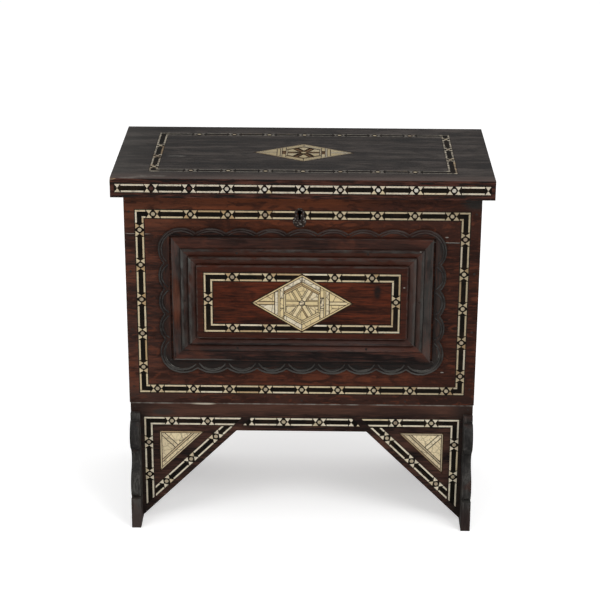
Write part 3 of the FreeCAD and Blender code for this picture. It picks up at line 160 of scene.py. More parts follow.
class ChestShapes(bpy.types.PropertyGroup):
    """Small forms that the boards and the carving get"""
    board_edge: length("Board edge", "Rounding of the case and lid boards' edges", 1.3 * MM)
    stand_edge: length("Stand edge", "Rounding of the stand's worn edges", 1.3 * MM)
    field_edge: length("Field edge", "Rounding of the raised field's edge", 2.2 * MM)
    nose_round: length("Moulding nose", "Rounding of each step of the mouldings", 2.6 * MM)
    step_run: length("Step run", "Width of each step of the mouldings", 10.75 * MM)
    step_rise: length("Step rise", "Height of each step of the mouldings", 3.0 * MM)
    hollow: length("Hollow", "How far each step falls away behind its nose", 1.0 * MM)
    root_width: length("Root", "Width of the dirty groove in front of each nose", 0.9 * MM)
    fascia_edge: length("Fascia edge", "Rounding of the mouldings' outer edge", 1.2 * MM)
    strip_edge: length("Scallop edge", "Rounding of the scalloped strips", 0.5 * MM)
    metal_edge: length("Iron edge", "Rounding of the iron parts", 0.35 * MM)
    bead_width: length("Bead width", "Width of each of the two beads along a lobe", 3.2 * MM)
    bead_rise: length("Bead rise", "Height of a bead above the strip", 1.7 * MM)
    bead_lift: length("Bead lift", "How far the inner bead's ends reach in", 9.0 * MM)
    bead_tuck: length("Bead tuck", "How far its ends stand off the cusps", 2.5 * MM)
    line_inset: length("Lunette line", "Distance of the line from the lobe's edge", 6.8 * MM)
    line_width: length("Line width", "Width of the lunette's raised line", 0.9 * MM)
    lobe_depth: length("Lobe depth", "Depth of a lobe between its cusps", 7.0 * MM)
    lobe_width: length("Lobe width", "Distance of the cusps along the width", 42.0 * MM)
    lobe_height: length("Lobe height", "Distance of the cusps along the height", 38.0 * MM)
    lobes_across: number("Lobes across", "Lobes between two corner lobes", 7)
    lobes_up: number("Lobes up", "Lobes between a low and a high corner lobe", 3)
    chip_length: length("Chip length", "Length of the chip at the lid's corner", 9.0 * MM)
    bed_foot: length("Bed foot", "Height of the old glue's foot above the slips' foot", 0.1 * MM)
    bed_height: length("Bed height", "Thickness of the old glue where slips are lost", 0.9 * MM)
    slip_rim: length("Slip rim", "Greatest width of the stained rim around a slip", 0.45 * MM)


class ChestColours(bpy.types.PropertyGroup):
    """Colours of the woods, the inlay and the iron"""
    red_dark: colour("Red wood, dark", "Dark streaks of the red wood", (0.022, 0.0075, 0.0046))
    red_main: colour("Red wood", "Red stained wood of the front", (0.054, 0.0140, 0.0066))
    red_light: colour("Red wood, light", "Worn, warmer streaks", (0.100, 0.026, 0.0105))
    field_light: colour("Field, light", "Redder streaks of the field", (0.100, 0.021, 0.0080))
    base_brown: colour("Base brown", "Brown along the front's foot", (0.033, 0.0145, 0.0100))
    warm: colour("Warm wood", "Orange wood under the lid", (0.142, 0.036, 0.010))
    brown_dark: colour("Brown, dark", "Dark streaks of the mouldings", (0.0095, 0.0047, 0.0039))
    brown_main: colour("Brown wood", "Wood of the mouldings", (0.032, 0.0115, 0.0080))
    brown_light: colour("Brown, light", "Light streaks of the mouldings", (0.070, 0.021, 0.0120))
    black_dark: colour("Black, dark", "Dark streaks of the lid", (0.0065, 0.0048, 0.0042))
    black_main: colour("Black wood", "Blackened top of the lid", (0.021, 0.0155, 0.0130))
    black_light: colour("Black, light", "Lighter streaks of the lid", (0.058, 0.047, 0.041))
    lid_strip: colour("Lid's strip", "Browner strip along the lid's front", (0.080, 0.054, 0.045))
    lid_edge: colour("Lid's edge", "Red-brown front edge of the lid", (0.029, 0.0068, 0.0028))
    stand_main: colour("Stand wood", "Wood of the apron", (0.038, 0.0155, 0.0100))
    stand_light: colour("Stand, light", "Lighter streaks of the apron", (0.070, 0.0290, 0.0180))
    coal_dark: colour("Coal, dark", "Darkest places of the carving", (0.0110, 0.0095, 0.0085))
    coal: colour("Coal black", "Blackened carving and feet", (0.026, 0.0230, 0.0205))
    coal_light: colour("Coal, light", "Rubbed places of the carving", (0.060, 0.056, 0.050))
    dust: colour("Dust", "Pale dust and bare fibres in scuffs", (0.215, 0.200, 0.175))
    bare: colour("Bare wood", "Fresh wood in chips", (0.46, 0.28, 0.14))
    side_main: colour("Inner wood", "Plain wood of the back and bottom", (0.105, 0.050, 0.025))
    side_dark: colour("Inner, dark", "Dark streaks of the plain wood", (0.045, 0.020, 0.011))
    side_light: colour("Inner, light", "Light streaks of the plain wood", (0.170, 0.088, 0.045))
    worn_grey: colour("Worn grey", "Dust and dry polish on worn edges", (0.066, 0.064, 0.058))
    grime: colour("Grime", "Old dirt in hollows", (0.010, 0.009, 0.008))
    bone_tan: colour("Bone, tan", "The most stained slips of bone", (0.34, 0.22, 0.10))
    bone_cream: colour("Bone", "Ordinary slips of bone", (0.51, 0.42, 0.265))
    bone_pale: colour("Bone, pale", "The palest slips of bone", (0.62, 0.56, 0.43))
    bone_grey: colour("Bone, grey", "Dry, greyer slips on the lid", (0.515, 0.46, 0.36))
    shell_silver: colour("Shell, silver", "Silvery shell", (0.52, 0.49, 0.42))
    shell_rose: colour("Shell, rose", "Rosy shell of the small dots", (0.25, 0.190, 0.130))
    shell_cream: colour("Shell, cream", "Yellowed shell of the plates", (0.60, 0.475, 0.25))
    shell_pale: colour("Shell, pale", "Palest shell of the plates", (0.66, 0.55, 0.335))
    shell_dull: colour("Shell, dull", "Greyer shell of some dots", (0.36, 0.30, 0.20))
    lid_line: colour("Lid's lines", "Dulled bone of the lid's long sides", (0.085, 0.076, 0.068))
    joint: colour("Dark joint", "Joints between the plates' slips", (0.026, 0.0125, 0.0055))
    bed: colour("Empty bed", "Old glue where slips are lost", (0.115, 0.066, 0.034))
    lost_shell: colour("Lost shell", "Sockets that lost their dots", (0.050, 0.014, 0.009))
    paste: colour("Joint paste", "Dark paste between the slips", (0.0060, 0.0045, 0.0030))
    paste_brown: colour("Brown paste", "Browner places in the paste", (0.015, 0.0085, 0.0045))
    glue: colour("Joint glue", "Brown glue in the plates' joints", (0.072, 0.036, 0.014))
    iron: colour("Iron", "Blackened iron", (0.055, 0.050, 0.046))
    nail: colour("Nail heads", "Nail heads and the keyhole's plate", (0.026, 0.017, 0.014))
    # rubbed iron, also the painted glints on the keyhole plate
    iron_bright: colour("Iron, rubbed", "Rubbed iron", (0.30, 0.28, 0.25))
    rust: colour("Rust", "Rust on the iron", (0.085, 0.032, 0.013))


class ChestStage(bpy.types.PropertyGroup):
    """The camera, the floor and the studio light"""
    camera_place: FloatVectorProperty(name="Camera", description="Where the camera stands", size=3,
                                      default=(0.02647, -2.4544, 1.2561), subtype="TRANSLATION")
    pitch: amount("Pitch", "How far the camera looks down", math.radians(21.231), "ANGLE")
    yaw: amount("Yaw", "How far the camera turns to the right", math.radians(-0.717), "ANGLE")
    roll: amount("Roll", "How far the camera leans", math.radians(-0.266), "ANGLE")
    lens: amount("Lens", "Focal length on a 36 mm frame", 108.594)
    floor_colour: colour("Floor", "Pale studio floor", (0.90, 0.90, 0.90))
    floor_glow: amount("Floor glow", "Light that comes up through the floor", 0.43)
    room_light: amount("Room light", "Brightness of the studio all round", 0.20)
    ceiling_power: amount("Ceiling light", "Power of the soft ceiling", 300.0, "POWER")
    ceiling_width: length("Ceiling width", "Width of the soft ceiling", 12.0)
    ceiling_height: length("Ceiling height", "Height of the soft ceiling", 4.5)
    left_power: amount("Left soft box", "Power of the soft box on the left", 20.0, "POWER")
    right_power: amount("Right soft box", "Power of the soft box on the right", 36.0, "POWER")


class Finish:
    """One procedural finish under construction: its nodes, its links and its tone so far."""

    def __init__(self, name, colours=None):
        self.material = bpy.data.materials.new(name)
        self.material.use_nodes = True
        self.tree = self.material.node_tree
        self.shader = next(n for n in self.tree.nodes if n.type == "BSDF_PRINCIPLED")
        self.place = self.add("ShaderNodeTexCoord").outputs["Object"]
        self.colours = colours
        self.tone = None

    def add(self, kind, **values):
        """A node of that kind, with its values."""
        node = self.tree.nodes.new(kind)
        for name, value in values.items():
            setattr(node, name, value)
        return node

    def feed(self, socket, value):
        """Links an output to the socket, or sets the socket's own value."""
        if isinstance(value, bpy.types.NodeSocket):
            self.tree.links.new(value, socket)
        else:
            socket.default_value = value

    def tint(self, tone):
        """A tone as a socket takes it: an output, or a colour by its name or its three parts."""
        if isinstance(tone, bpy.types.NodeSocket):
            return tone
        parts = getattr(self.colours, tone) if isinstance(tone, str) else tone
        return (*parts, 1.0)

    def mapped(self, scale=(1, 1, 1), shift=(0, 0, 0)):
        """The piece's coordinates, scaled along each axis and moved."""
        mapping = self.add("ShaderNodeMapping")
        self.feed(mapping.inputs["Vector"], self.place)
        mapping.inputs["Scale"].default_value = scale
        mapping.inputs["Location"].default_value = shift
        return mapping.outputs["Vector"]

    def noise(self, scale, detail=3.0, rough=0.55, twist=0.0, where=None):
        """A cloudy value from 0 to 1, with features about 1 / scale metres wide."""
        node = self.add("ShaderNodeTexNoise")
        self.feed(node.inputs["Vector"], where or self.place)
        values = {"Scale": scale, "Detail": detail, "Roughness": rough, "Distortion": twist}
        for name, value in values.items():
            node.inputs[name].default_value = value
        return node.outputs["Fac"]

    def cells(self, scale):
        """Distance from the joints of irregular cells, about 1 / scale metres wide."""
        node = self.add("ShaderNodeTexVoronoi", feature="DISTANCE_TO_EDGE")
        self.feed(node.inputs["Vector"], self.place)
        node.inputs["Scale"].default_value = scale
        return node.outputs["Distance"]

    def sum(self, operation, first, second=0.0, third=0.0):
        """One arithmetic step on values that vary over the surface."""
        node = self.add("ShaderNodeMath", operation=operation)
        for socket, value in zip(node.inputs, (first, second, third)):
            self.feed(socket, value)
        return node.outputs["Value"]

    def spread(self, value, low, high, to_low=0.0, to_high=1.0):
        """The value's range from low to high, laid out from to_low to to_high and held there."""
        node = self.add("ShaderNodeMapRange", clamp=True)
        for socket, part in zip(node.inputs, (value, low, high, to_low, to_high)):
            self.feed(socket, part)
        return node.outputs["Result"]

    def ramp(self, value, *stops):
        """Colours at stops along the value."""
        node = self.add("ShaderNodeValToRGB")
        self.feed(node.inputs["Fac"], value)
        points = node.color_ramp.elements
        while len(points) < len(stops):
            points.new(1.0)
        for point, (position, tone) in zip(points, stops):
            point.position = position
            point.color = self.tint(tone)
        return node.outputs["Color"]

    def blend(self, share, first, second, how="MIX"):
        """Two colours mixed by a share that varies over the surface."""
        node = self.add("ShaderNodeMix", data_type="RGBA", blend_type=how)
        self.feed(node.inputs["Factor"], share)
        sockets = [s for s in node.inputs if s.type == "RGBA"]
        for socket, tone in zip(sockets, (first, second)):
            self.feed(socket, self.tint(tone))
        return next(s for s in node.outputs if s.type == "RGBA")

    def lay(self, share, tone):
        """Lays another tone over the finish, as much as the share says."""
        self.tone = self.blend(share, self.tone, tone)

    def mark(self, name):
        """A value that the piece's own faces carry."""
        return self.add("ShaderNodeAttribute", attribute_name=name).outputs["Fac"]

    def axis(self, letter):
        """The piece's own X, Y or Z."""
        node = self.add("ShaderNodeSeparateXYZ")
        self.feed(node.inputs["Vector"], self.place)
        return node.outputs[letter]

    def near(self, point, reach, squeeze):
        """1 close to a point of the piece and 0 beyond the reach, with each axis squeezed."""
        node = self.add("ShaderNodeVectorMath", operation="DISTANCE")
        self.feed(node.inputs[0], self.mapped(squeeze))
        node.inputs[1].default_value = [part * scale for part, scale in zip(point, squeeze)]
        return self.spread(node.outputs["Value"], reach / 2, reach, 1.0, 0.0)

    def relief(self, height, depth):
        """Fine relief of that depth, in metres."""
        node = self.add("ShaderNodeBump")
        node.inputs["Strength"].default_value = 1.0
        node.inputs["Distance"].default_value = depth
        self.feed(node.inputs["Height"], height)
        self.feed(self.shader.inputs["Normal"], node.outputs["Normal"])

    def coat(self, roughness, specular, metal=0.0):
        """Sends the finished tone and roughness to the shader."""
        values = {"Base Color": self.tone, "Roughness": roughness,
                  "Specular IOR Level": specular, "Metallic": metal}
        for name, value in values.items():
            self.feed(self.shader.inputs[name], value)
        return self.material


class Wood(Finish):
    """A stained wood: bands, streaks and pores along the grain, stains, and dry worn edges."""
    STRETCH = {"X": (0.09, 1, 1), "Y": (1, 0.09, 1), "Z": (1, 1, 0.09)}
    SLOWER = 0.4
    BANDS = {"scale": 46, "detail": 5, "rough": 0.62, "twist": 0.9}
    STREAKS = {"scale": 400, "detail": 3, "rough": 0.65, "twist": 0.4}
    PORES = {"scale": 1500, "detail": 2}
    SLOW_SHADE = {"scale": 30, "detail": 4, "rough": 0.6, "twist": 0.8}
    WORN_PATCHES = {"scale": 170, "detail": 4, "rough": 0.65}
    BAND_SHARE = 0.55
    STOPS = (0.42, 0.50, 0.59)
    SHADED = (0.62, 0.62, 0.64)
    # ranges of the grain that changes, spots and scuffs keep to
    CHANGE_GRAIN = (0.25, 0.60, 0.35, 1.0)
    SPOT_GRAIN = (0.30, 0.50, 0.3)
    SCUFF_GRAIN = (0.46, 0.58, 0.0)
    CRACK_WANDER = 5 * MM
    CRACK_FADE = 6 * MM
    GRAIN_DEPTH = 0.25 * MM
    GLOSS_RANGE = 0.18
    WORN_ROUGHNESS = 0.2

    def __init__(self, name, colours, grain, tones, shift=0.0):
        super().__init__(name, colours)
        if shift:
            self.place = self.mapped(shift=(shift, shift, shift))
        along = self.mapped(self.STRETCH[grain])
        self.slower = self.mapped([part ** self.SLOWER for part in self.STRETCH[grain]])
        self.bands = self.noise(**self.BANDS, where=along)
        self.streaks = self.noise(**self.STREAKS, where=along)
        self.pores = self.spread(self.noise(**self.PORES, where=along), 0.30, 0.46)
        figure = self.sum("MULTIPLY", self.streaks, 1 - self.BAND_SHARE)
        figure = self.sum("MULTIPLY_ADD", self.bands, self.BAND_SHARE, figure)
        self.tone = self.ramp(figure, *zip(self.STOPS, tones))
        self.lay(self.spread(self.pores, 0, 1, 0.45, 0.0), "grime")
        # slow changes along and across each board
        slow = self.noise(**self.SLOW_SHADE, where=self.slower)
        shade = self.ramp(slow, (0.34, self.SHADED), (0.5, (1, 1, 1)))
        self.tone = self.blend(1.0, self.tone, shade, "MULTIPLY")

    def stain(self, scale, low, high, tone, most):
        """Large uneven stains of another tone."""
        cloud = self.noise(scale, detail=5, rough=0.6, twist=0.4)
        self.lay(self.spread(cloud, low, high, 0.0, most), tone)

    def streak(self, scale, low, high, tone, most):
        """Uneven streaks of another tone, drawn out along the grain."""
        cloud = self.noise(scale, detail=5, rough=0.6, twist=1.2, where=self.slower)
        self.lay(self.spread(cloud, low, high, 0.0, most), tone)

    def change(self, letter, low, high, tone, most):
        """A tone that sets in from low to high along an axis."""
        share = self.spread(self.axis(letter), low, high, 0.0, most)
        grain = self.spread(self.bands, *self.CHANGE_GRAIN)
        self.lay(self.sum("MULTIPLY", share, grain), tone)

    def spot(self, place, reach, tone, most, squeeze=(1, 1)):
        """A mark around a place in X and Z, broken up by the grain."""
        (x, z), (across, up) = place, squeeze
        grain = self.spread(self.streaks, *self.SPOT_GRAIN, most)
        share = self.near((x, 0, z), reach, (across, 0, up))
        self.lay(self.sum("MULTIPLY", share, grain), tone)

    def scuff(self, place, reach, tone, most, squeeze):
        """A scuffed place in X and Y, only along some of the grain's streaks."""
        (x, y), (across, back) = place, squeeze
        grain = self.spread(self.streaks, *self.SCUFF_GRAIN, most)
        share = self.near((x, y, 0), reach, (across, back, 0))
        self.lay(self.sum("MULTIPLY", share, grain), tone)

    def crack(self, start, end, height, tone, width):
        """A crack that runs along X at about that height."""
        wander = self.sum("MULTIPLY_ADD", self.noise(26, detail=2), self.CRACK_WANDER,
                          -self.CRACK_WANDER / 2)
        level = self.sum("ADD", self.axis("Z"), wander)
        off = self.sum("ABSOLUTE", self.sum("SUBTRACT", level, height))
        line = self.spread(off, width, 2 * width, 1.0, 0.0)
        begins = self.spread(self.axis("X"), start - self.CRACK_FADE, start)
        ends = self.spread(self.axis("X"), end, end + self.CRACK_FADE, 1.0, 0.0)
        self.lay(self.sum("MULTIPLY", line, self.sum("MULTIPLY", begins, ends)), tone)

    def beyond(self, node):
        """How far a place is outside the rectangle of a border; less than 0 within it."""
        low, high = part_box(node)
        past = []
        for letter, start, end in (("X", low.x, high.x), ("Z", low.z, high.z)):
            middle = self.sum("SUBTRACT", self.axis(letter), (start + end) / 2)
            off = self.sum("ABSOLUTE", middle)
            past.append(self.sum("SUBTRACT", off, (end - start) / 2))
        return self.sum("MAXIMUM", *past)

    def outline(self, node, tone, reach=0.5 * MM, most=0.7):
        """Dark paste that has crept out along both sides of a border round a rectangle."""
        outside = self.beyond(node)
        for inset in (0, BORDER_WIDTH):
            off = self.sum("ABSOLUTE", self.sum("ADD", outside, inset))
            self.lay(self.spread(off, reach, 2 * reach, most, 0.0), tone)

    def done(self, gloss, wear_and_highlight=0.6, specular=0.35):
        """Adds the worn edges, whose grey is partly a painted highlight on the beads' crests and
        the mouldings' noses, the gloss and the grain's relief.
        """
        cloud = self.noise(**self.WORN_PATCHES, where=self.slower)
        patches = self.sum("MULTIPLY", self.spread(cloud, 0.36, 0.64), wear_and_highlight)
        # grey worn edges; on the crests and noses partly a painted highlight
        worn = self.sum("MULTIPLY", self.mark("wear_and_highlight"), patches)
        self.lay(worn, "worn_grey")
        rough = self.spread(self.streaks, 0.3, 0.7, gloss, gloss + self.GLOSS_RANGE)
        rough = self.sum("MULTIPLY_ADD", worn, self.WORN_ROUGHNESS, rough)
        height = self.sum("MULTIPLY", self.pores, 0.5)
        height = self.sum("MULTIPLY_ADD", self.streaks, 0.5, height)
        self.relief(height, self.GRAIN_DEPTH)
        return self.coat(rough, specular)


# where a wood's tone changes: axis, where it sets in, where it is full, tone and share
FRONT_CHANGES = (
    ("Z", 0.425, 0.490, "warm", 0.75),          # under the lid
    ("Z", 0.240, 0.222, "red_light", 0.25),     # below the carving
    ("Z", 0.214, 0.196, "base_brown", 0.9),     # along the foot
    ("X", 0.020, 0.235, "brown_dark", 0.45),    # towards the right
    ("X", -0.090, -0.235, "worn_grey", 0.13),   # towards the left
)
CARVING_CHANGES = (
    ("Z", 0.262, 0.250, "coal_dark", 0.9),      # bottom strip
    ("X", -0.182, -0.187, "coal_dark", 0.6),    # left strip
    ("X", 0.182, 0.187, "coal", 0.75),          # right strip
)
BEAD_CHANGES = (
    ("Z", 0.425, 0.442, "brown_main", 0.75),    # top strip
    ("Z", 0.262, 0.250, "coal_light", 0.6),     # bottom strip
    ("X", -0.184, -0.194, "brown_dark", 0.6),   # left strip
    ("X", 0.184, 0.194, "brown_dark", 0.6),     # right strip
)
RIGHT_MOULDING = ("X", 0.10, 0.15, "worn_grey", 0.3)
TOP_MOULDING = ("Z", 0.36, 0.38, "red_light", 0.16)
LID_LEFT = ("X", -0.205, -0.250, "coal_light", 0.4)
FOOT_ENDS = ("Z", 0.045, 0.020, "brown_main", 0.6)
# painted shade on the apron beside the feet, from where it sets in to where it is full
APRON_END_SHADE = (0.208, 0.226)
# where tones change: back from the lid's front, down from the apron's top, out from a border
LID_STRIP, LID_EDGE = (30 * MM, 5 * MM), (1.2 * MM, 0.4 * MM)
APRON_LIGHT, APRON_LINE = (22 * MM, 12 * MM), (2.4 * MM, 1.6 * MM)
FIELD_MARGIN = 3 * MM

# cracks: start and end in X, height, what shows in them, and half their width
FRONT_CRACKS = (
    (-0.246, -0.208, 0.4370, "grime", 0.45 * MM),
    (0.170, 0.218, 0.4295, "grime", 0.45 * MM),
    (0.184, 0.214, 0.4300, "dust", 0.25 * MM),
    (-0.240, -0.214, 0.4392, "dust", 0.20 * MM),
)
# a pale line along the bottom moulding's lower edge, drawn like a crack
MOULDING_PALE_LINE = (-0.178, -0.100, 0.2555, "worn_grey", 0.45 * MM)

# marks: place in X and Z, reach, tone, share, and how the reach is squeezed
FRONT_SHADE = ((0.190, 0.478), 150 * MM, "brown_main", 0.8, (1, 2.2))
FRONT_MARKS = (
    ((0.1984, 0.4375), 1.8 * MM, "dust", 1.0, (0.6, 1.8)),
    ((0.1919, 0.3647), 1.8 * MM, "dust", 1.0, (0.6, 1.8)),
    ((0.1982, 0.2356), 1.8 * MM, "dust", 1.0, (0.6, 1.8)),
    ((0.2370, 0.4890), 24 * MM, "coal", 0.95, (1, 1.6)),
)
FIELD_MARKS = (
    ((0.1409, 0.3692), 1.5 * MM, "dust", 1.0, (0.8, 1.5)),
    ((0.1040, 0.3620), 6.0 * MM, "grime", 0.9, (1, 0.5)),
)
SIDE_MOULDING_MARK = ((-0.1745, 0.342), 7 * MM, "warm", 0.45, (1, 0.15))
TOP_MOULDING_MARKS = (
    ((-0.0400, 0.4128), 3.5 * MM, "grime", 1.0),
    ((-0.1580, 0.4002), 3.0 * MM, "grime", 1.0),
    ((0.1625, 0.4196), 1.6 * MM, "dust", 1.0, (1, 1.5)),
)
APRON_MARK = ((-0.198, 0.170), 16 * MM, "coal", 0.8, (0.8, 2.5))

# the lid's scuffs: place in X and Y, and reach
LID_SCUFFS = (((-0.216, -0.110), 8 * MM), ((-0.236, -0.117), 6 * MM),
              ((-0.196, -0.108), 5 * MM), ((-0.179, -0.015), 6 * MM))


def kept(build):
    """Makes a finish once, under its function's name and values."""
    def get(colours, *details):
        name = "_".join(map(str, (build.__name__, *details)))
        return bpy.data.materials.get(name) or build(name, colours, *details)
    return get


@kept
def red_wood(name, colours, grain):
    """Red stained wood of the front and the sides."""
    wood = Wood(name, colours, grain, ("red_dark", "red_main", "red_light"))
    wood.stain(9, 0.50, 0.72, "brown_dark", 0.45)
    for change in FRONT_CHANGES:
        wood.change(*change)
    wood.spot(*FRONT_SHADE)
    wood.streak(75, 0.51, 0.61, "red_dark", 0.7)
    wood.streak(110, 0.55, 0.65, "red_light", 0.6)
    for crack in FRONT_CRACKS:
        wood.crack(*crack)
    for mark in FRONT_MARKS:
        wood.spot(*mark)
    wood.outline("front_border_ground", "grime")
    return wood.done(0.40, specular=0.12)


@kept
def field_wood(name, colours, grain):
    """The raised field's redder wood, darker around its border."""
    wood = Wood(name, colours, grain, ("red_dark", "red_main", "field_light"))
    wood.stain(11, 0.52, 0.74, "red_dark", 0.5)
    wood.streak(60, 0.52, 0.66, "red_dark", 0.6)
    margin = wood.spread(wood.beyond("field_border_ground"), 0.0, FIELD_MARGIN, 0.0, 0.65)
    wood.lay(margin, "brown_main")
    for mark in FIELD_MARKS:
        wood.spot(*mark)
    wood.outline("field_border_ground", "grime")
    return wood.done(0.42, wear_and_highlight=0.55, specular=0.07)


@kept
def moulding_wood(name, colours, grain):
    """Darker wood of the stepped mouldings: rubbed on the treads, grey noses that are partly a
    painted highlight, and grime with painted shade in the grooves.
    """
    wood = Wood(name, colours, grain, ("brown_dark", "brown_main", "brown_light"))
    wood.stain(14, 0.50, 0.70, "grime", 0.45)
    wood.stain(21, 0.55, 0.70, "red_light", 0.5)
    if grain == "Z":
        wood.stain(30, 0.40, 0.62, "worn_grey", 0.32)
        wood.spot(*SIDE_MOULDING_MARK)
        wood.change(*RIGHT_MOULDING)
    else:
        wood.change(*TOP_MOULDING)
        wood.crack(*MOULDING_PALE_LINE)
        for mark in TOP_MOULDING_MARKS:
            wood.spot(*mark)
    wood.lay(wood.mark("rubbed"), "brown_light")
    # grime with painted shade in the grooves in front of the noses, weakest on the top moulding
    wood.lay(wood.sum("MULTIPLY", wood.mark("dirt"), 0.85), "grime")
    return wood.done(0.40, wear_and_highlight=1.0, specular=0.20)


@kept
def carved_wood(name, colours, grain):
    """Ground of the carved strips: brown on top, blackened on the other sides."""
    wood = Wood(name, colours, grain, ("brown_dark", "red_main", "red_light"))
    wood.stain(24, 0.40, 0.62, "coal_dark", 0.55)
    for change in CARVING_CHANGES:
        wood.change(*change)
    return wood.done(0.45, wear_and_highlight=0.5, specular=0.2)


@kept
def bead_wood(name, colours, grain):
    """The blackened beads of the carving."""
    wood = Wood(name, colours, grain, ("coal_dark", "coal", "coal_light"))
    wood.stain(55, 0.48, 0.68, "brown_main", 0.4)
    for change in BEAD_CHANGES:
        wood.change(*change)
    return wood.done(0.45, wear_and_highlight=0.55, specular=0.25)


@kept
def dusty_wood(name, colours, grain):
    """The pale line on the inside of each lobe's beads: a painted highlight."""
    wood = Wood(name, colours, grain, ("coal", "worn_grey", "dust"))
    wood.stain(60, 0.45, 0.60, "coal", 0.9)
    return wood.done(0.6)


@kept
def lid_wood(name, colours, grain):
    """Blackened lid, browner along its front and red-brown on its front edge."""
    wood = Wood(name, colours, grain, ("black_dark", "black_main", "black_light"))
    wood.stain(7, 0.52, 0.75, "brown_dark", 0.4)
    wood.streak(24, 0.50, 0.64, "black_light", 0.5)
    wood.streak(41, 0.52, 0.64, "black_dark", 0.6)
    wood.change(*LID_LEFT)
    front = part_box("lid_board")[0].y
    wood.change("Y", *(front + back for back in LID_STRIP), "lid_strip", 0.9)
    for place, reach in LID_SCUFFS:
        wood.scuff(place, reach, "dust", 0.7, (0.4, 1.2))
    edge_tones = zip((0.40, 0.50, 0.64), ("black_dark", "lid_edge", "brown_light"))
    on_edge = wood.spread(wood.axis("Y"), *(front + back for back in LID_EDGE), 0.0, 0.95)
    wood.lay(on_edge, wood.ramp(wood.streaks, *edge_tones))
    return wood.done(0.42, wear_and_highlight=0.55, specular=0.19)


@kept
def stand_wood(name, colours, grain):
    """Dark wood of the apron, with painted shade beside the feet and a broken dusty line along its
    top.
    """
    wood = Wood(name, colours, grain, ("brown_dark", "stand_main", "stand_light"))
    wood.stain(10, 0.50, 0.72, "grime", 0.4)
    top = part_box("front_apron")[1].z
    wood.change("Z", *(top - drop for drop in APRON_LIGHT), "stand_light", 0.8)
    # painted shade on the apron beside the feet at both ends
    for way in (-1, 1):
        wood.change("X", *(way * place for place in APRON_END_SHADE), "coal_dark", 0.75)
    wood.spot(*APRON_MARK)
    line = wood.spread(wood.axis("Z"), *(top - drop for drop in APRON_LINE))
    broken = wood.spread(wood.noise(38, detail=3), 0.42, 0.58, 0.1, 0.9)
    wood.lay(wood.sum("MULTIPLY", line, broken), "dust")
    wood.spot((-0.140, top - APRON_LINE[1]), 20 * MM, "bone_grey", 0.75, (1, 9))
    return wood.done(0.44, specular=0.14)


@kept
def foot_wood(name, colours, grain):
    """Dry, blackened wood of the stand's sides."""
    wood = Wood(name, colours, grain, ("coal_dark", "coal", "coal_light"))
    wood.stain(26, 0.55, 0.68, "red_main", 0.7)
    wood.change(*FOOT_ENDS)
    return wood.done(0.55, wear_and_highlight=1.0, specular=0.25)


@kept
def plain_wood(name, colours, grain, shift):
    """Unstained wood of the back, the bottom, the lid's underside and the blocks."""
    wood = Wood(name, colours, grain, ("side_dark", "side_main", "side_light"), shift)
    wood.stain(8, 0.50, 0.78, "brown_main", 0.6)
    return wood.done(0.55, wear_and_highlight=0.3)


def plain_board(colours, node, grain):
    """A plain board's own finish."""
    return plain_wood(colours, grain, FIGURE_SHIFT[node])


@kept
def bare_wood(name, colours, grain):
    """Fresh wood where a corner has chipped."""
    return Wood(name, colours, grain, ("side_light", "bare", "bare")).done(0.7)


# tones of the slips by their kind, from the dullest slip to the brightest, and where they sit
BONE_STOPS = (0.0, 0.22, 0.75, 1.0)
SHELL_STOPS = (0.20, 0.55, 0.90)
BONE_TONES = {"clean": ("bone_tan", "bone_cream", "bone_cream", "bone_pale"),
              "dull": ("bone_tan", "bone_cream", "bone_cream", "bone_pale"),
              "pale": ("bone_cream", "bone_pale", "bone_pale", "bone_pale"),
              "dry": ("bone_cream", "bone_grey", "bone_grey", "bone_pale"),
              "worn": ("bone_tan", "bone_grey", "bone_grey", "bone_pale"),
              "plates": ("bone_tan", "shell_cream", "shell_cream", "shell_pale")}
SHELL_TONES = {"dots": ("shell_rose", "shell_dull", "shell_dull"),
               "edge": ("shell_rose", "shell_silver", "shell_silver"),
               "plates": ("shell_cream", "shell_cream", "bone_pale"),
               "cracked": ("bone_cream", "shell_pale", "bone_pale"),
               "dull": ("shell_cream", "shell_cream", "shell_pale")}
PASTE_TONES = {"black": ("paste", "paste_brown"), "brown": ("joint", "paste_brown"),
               "empty": ("bed", "joint")}
SHELL_CRACKS = {"plates": 75, "cracked": 110}  # cracked shell, with the scale of its bits
SMEAR, WORN_SMEAR = (0.52, 0.70, 0.0, 0.45), (0.36, 0.60, 0.0, 0.92)
DIRTIER_RIGHT = (0.05, 0.21, 0.0, 0.33)
LID_LONG_SIDES = (0.196, 0.199, 0.75, 0.0)
LOST_DOTS = (-0.125, -0.130)
RELIEF = {"bone": 0.06 * MM, "shell": 0.05 * MM, "paste": 0.12 * MM, "iron": 0.3 * MM}

# iron by its kind: tone, scale of the pits, where rubbing sets in, its share, and how metallic; on
# the plate the rubbed flecks are painted glints
IRON = {"old": ("iron", 1100, 0.60, 0.6, 0.75), "nail": ("nail", 1100, 0.60, 0.2, 0.2),
        "plate": ("nail", 430, 0.56, 1.0, 0.35)}


